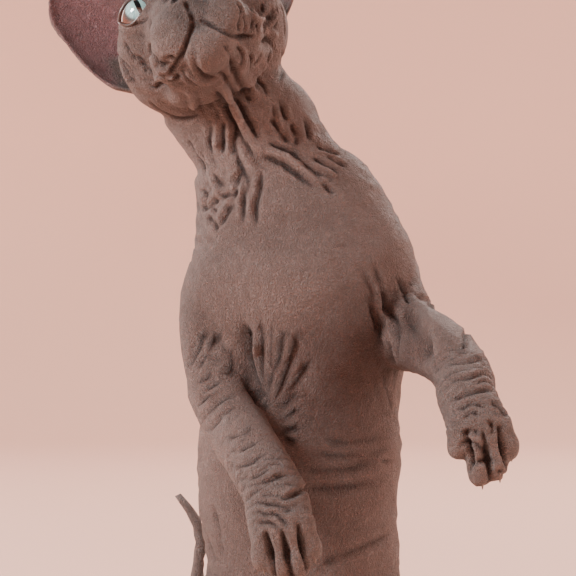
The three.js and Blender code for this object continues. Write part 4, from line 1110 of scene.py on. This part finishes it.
# The lids' wet edge: a thin tube along the rim of the opening, at the ball's surface
lidRim = {"radius": 0.85, "lift": 0.35}
rimPaint = Paint("lidRim", {"Roughness": 0.35, "Specular IOR Level": 0.5, "Coat Weight": 0.3,
                            "Coat Roughness": 0.2})
rimTone = rimPaint.noise(rimPaint.place(), 300)
rimPaint.wear(Base_Color=rimPaint.mix(rimTone, (0.014, 0.008, 0.007), (0.045, 0.024, 0.020)))
for sideName, side in sides.items():
    centre = fromHead(eyeBall * (side, 1, 1))
    gaze = unit(np.array(eye["gaze"]))
    crown = headTurn @ np.array([0, 0, 1.0])
    up = unit(crown - gaze * (crown @ gaze))
    rightward = np.cross(up, gaze)
    rows, around = 90, 96
    polar = np.linspace(np.pi, 0, rows + 2)[1:-1, None]
    turn = np.linspace(0, 2 * np.pi, around, endpoint=False)[None]
    radius = eye["radius"] - 0.12 + iris["bulge"] * np.exp(-((polar / iris["spread"]) ** 2) * 0.8) + 0 * turn
    ringX, ringY = np.sin(polar) * np.cos(turn), -np.sin(polar) * np.sin(turn)
    way = ringX[..., None] * rightward + ringY[..., None] * up
    way = way + (np.cos(polar) + 0 * turn)[..., None] * gaze
    top = eye["radius"] - 0.12 + iris["bulge"]
    shape = closedTube(centre + way * radius[..., None], centre - gaze * (eye["radius"] - 0.12),
                       centre + gaze * top)
    eyeball = addMesh(f"eyeball_{sideName}", *shape)
    for name, values in (("offX", ringX), ("offY", ringY)):
        addAttribute(eyeball, name, np.concatenate([[0], values.ravel(), [0]]))
    eyeball.data.materials.append(wet.material)
    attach(eyeball, "root")
    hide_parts(f"eye_{sideName}")

    across, rise, look = eyeAxes(side)
    t = np.linspace(-1, 1, 60)
    x = eye["halfWidth"] * np.sin(t * np.pi / 2)
    lower, upper = lidEdges(x)
    outline = np.concatenate([np.stack([x, upper], 1), np.stack([x, lower], 1)[-2:0:-1]])
    reach = eye["radius"] + lidRim["lift"]
    z = np.sqrt(np.maximum(reach**2 - (outline**2).sum(1), 1))
    rim = centre + outline[:, :1] * across + outline[:, 1:] * rise + z[:, None] * look
    along = unit(np.roll(rim, -1, 0) - np.roll(rim, 1, 0))
    out = unit(rim - centre)
    sideways = np.cross(along, out)
    turn = np.linspace(0, 2 * np.pi, 12, endpoint=False)
    circle = np.cos(turn)[:, None] * out[:, None] + np.sin(turn)[:, None] * sideways[:, None]
    tube = rim[:, None] + lidRim["radius"] * circle
    count, loops = tube.shape[:2]
    i, j = np.meshgrid(np.arange(count), np.arange(loops), indexing="ij")
    nextI, nextJ = (i + 1) % count, (j + 1) % loops
    faces = np.stack([i * loops + j, i * loops + nextJ, nextI * loops + nextJ, nextI * loops + j], -1)
    faces = faces.reshape(-1, 4)
    area = np.cross(tube[1, 0] - tube[0, 0], tube[0, 1] - tube[0, 0]) @ (tube[0, 0] - rim[0])
    lidEdge = addMesh(f"lid_rim_{sideName}", tube.reshape(-1, 3), [faces if area < 0 else faces[:, ::-1]])
    lidEdge.data.materials.append(rimPaint.material)
    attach(lidEdge, "root")

# Claws: thin hooked cones that start inside the toes' tips
print("claws")
claw = {"length": 4.2, "radius": 1.1, "sunk": 1.9}
horn = Paint("clawHorn", {"Roughness": 0.3, "Specular IOR Level": 0.5, "Subsurface Weight": 0.2,
                          "Subsurface Radius": (0.002, 0.0014, 0.001), "Coat Weight": 0.2,
                          "Coat Roughness": 0.25})
tip = horn.attribute("share")
streak = horn.noise(horn.place((1, 1, 0.25)), 900, 3)
streaked = horn.mix(streak, (0.07, 0.045, 0.038), (0.11, 0.075, 0.062))
horn.wear(Base_Color=horn.mix(tip, streaked, (0.17, 0.13, 0.11)),
          Roughness=0.26 + streak * 0.2, Normal=horn.bump(streak, 0.3, 0.0002))


# A claw: four narrowing ovals that bend under by the square of their distance from the toe.
def clawShape(toe):
    tipPoint = toe["root"] + toe["way"] * toe["length"]
    stations = []
    for share, size in ((0, 1), (0.4, 0.85), (0.75, 0.55), (1, 0.25)):
        place = tipPoint + toe["way"] * (share * claw["length"] + toe["radius"] * 0.2 - claw["sunk"])
        place = place + toe["under"] * (share**2 * claw["length"] * 0.55 - toe["radius"] * 0.1)
        stations.append((*place, size * claw["radius"] * 0.7, size * claw["radius"], size * claw["radius"]))
    return limb(stations, toe["side"], (0.8, 0.5), along=20, around=16, capRows=3)


for sideName, side in sides.items():
    for kind, toes in (("foreclaw", foreToesOf(forelegs[sideName])), ("hind_claw", hindToesOf(side))):
        for number, toe in enumerate(toes, 1):
            shape = clawShape(toe)
            piece = addMesh(f"{kind}_smooth_{sideName}_{number}", *shape)
            share = ((shape[0] - toe["root"]) @ toe["way"] - toe["length"]) / claw["length"]
            addAttribute(piece, "share", np.clip(share, 0, 1))
            piece.data.materials.append(horn.material)
            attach(piece, "root")
            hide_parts(f"{kind}_{sideName}_{number}")

# Floor and backdrop: a round floor that curves up into a wall, given by a profile turned about the middle
print("backdrop")
cove = {"floor": 1.75, "curve": 0.55, "wall": 2.6}
profile = [(r, 0) for r in np.linspace(0.02, cove["floor"], 12)]
profile += [(cove["floor"] + cove["curve"] * np.sin(a),
             cove["curve"] * (1 - np.cos(a))) for a in np.linspace(0.1, np.pi / 2, 14)]
profile += [(cove["floor"] + cove["curve"], cove["wall"])]
profile = np.array(profile) / mm
turn = np.linspace(0, 2 * np.pi, 96, endpoint=False)
rings = np.stack([profile[:, :1] * np.cos(turn), profile[:, :1] * np.sin(turn),
                  profile[:, 1:] + 0 * turn], -1)
count, loops = rings.shape[:2]
i, j = np.meshgrid(np.arange(count - 1), np.arange(loops), indexing="ij")
nextJ = (j + 1) % loops
walls = np.stack([i * loops + j, (i + 1) * loops + j, (i + 1) * loops + nextJ, i * loops + nextJ], -1)
walls = walls.reshape(-1, 4)
backdrop = addMesh("backdrop", rings.reshape(-1, 3) - (0, 0, 0.05), [walls, np.arange(loops)[None]])
paper = Paint("palePaper", {"Roughness": 0.95, "Specular IOR Level": 0.1, "Emission Strength": 0.17,
                            "Emission Color": (1, 0.70, 0.57, 1)})
paper.wear(Base_Color=paper.mix(paper.noise(paper.place(), 1.5, 2), (0.80, 0.51, 0.41), (0.84, 0.56, 0.46)))
backdrop.data.materials.append(paper.material)
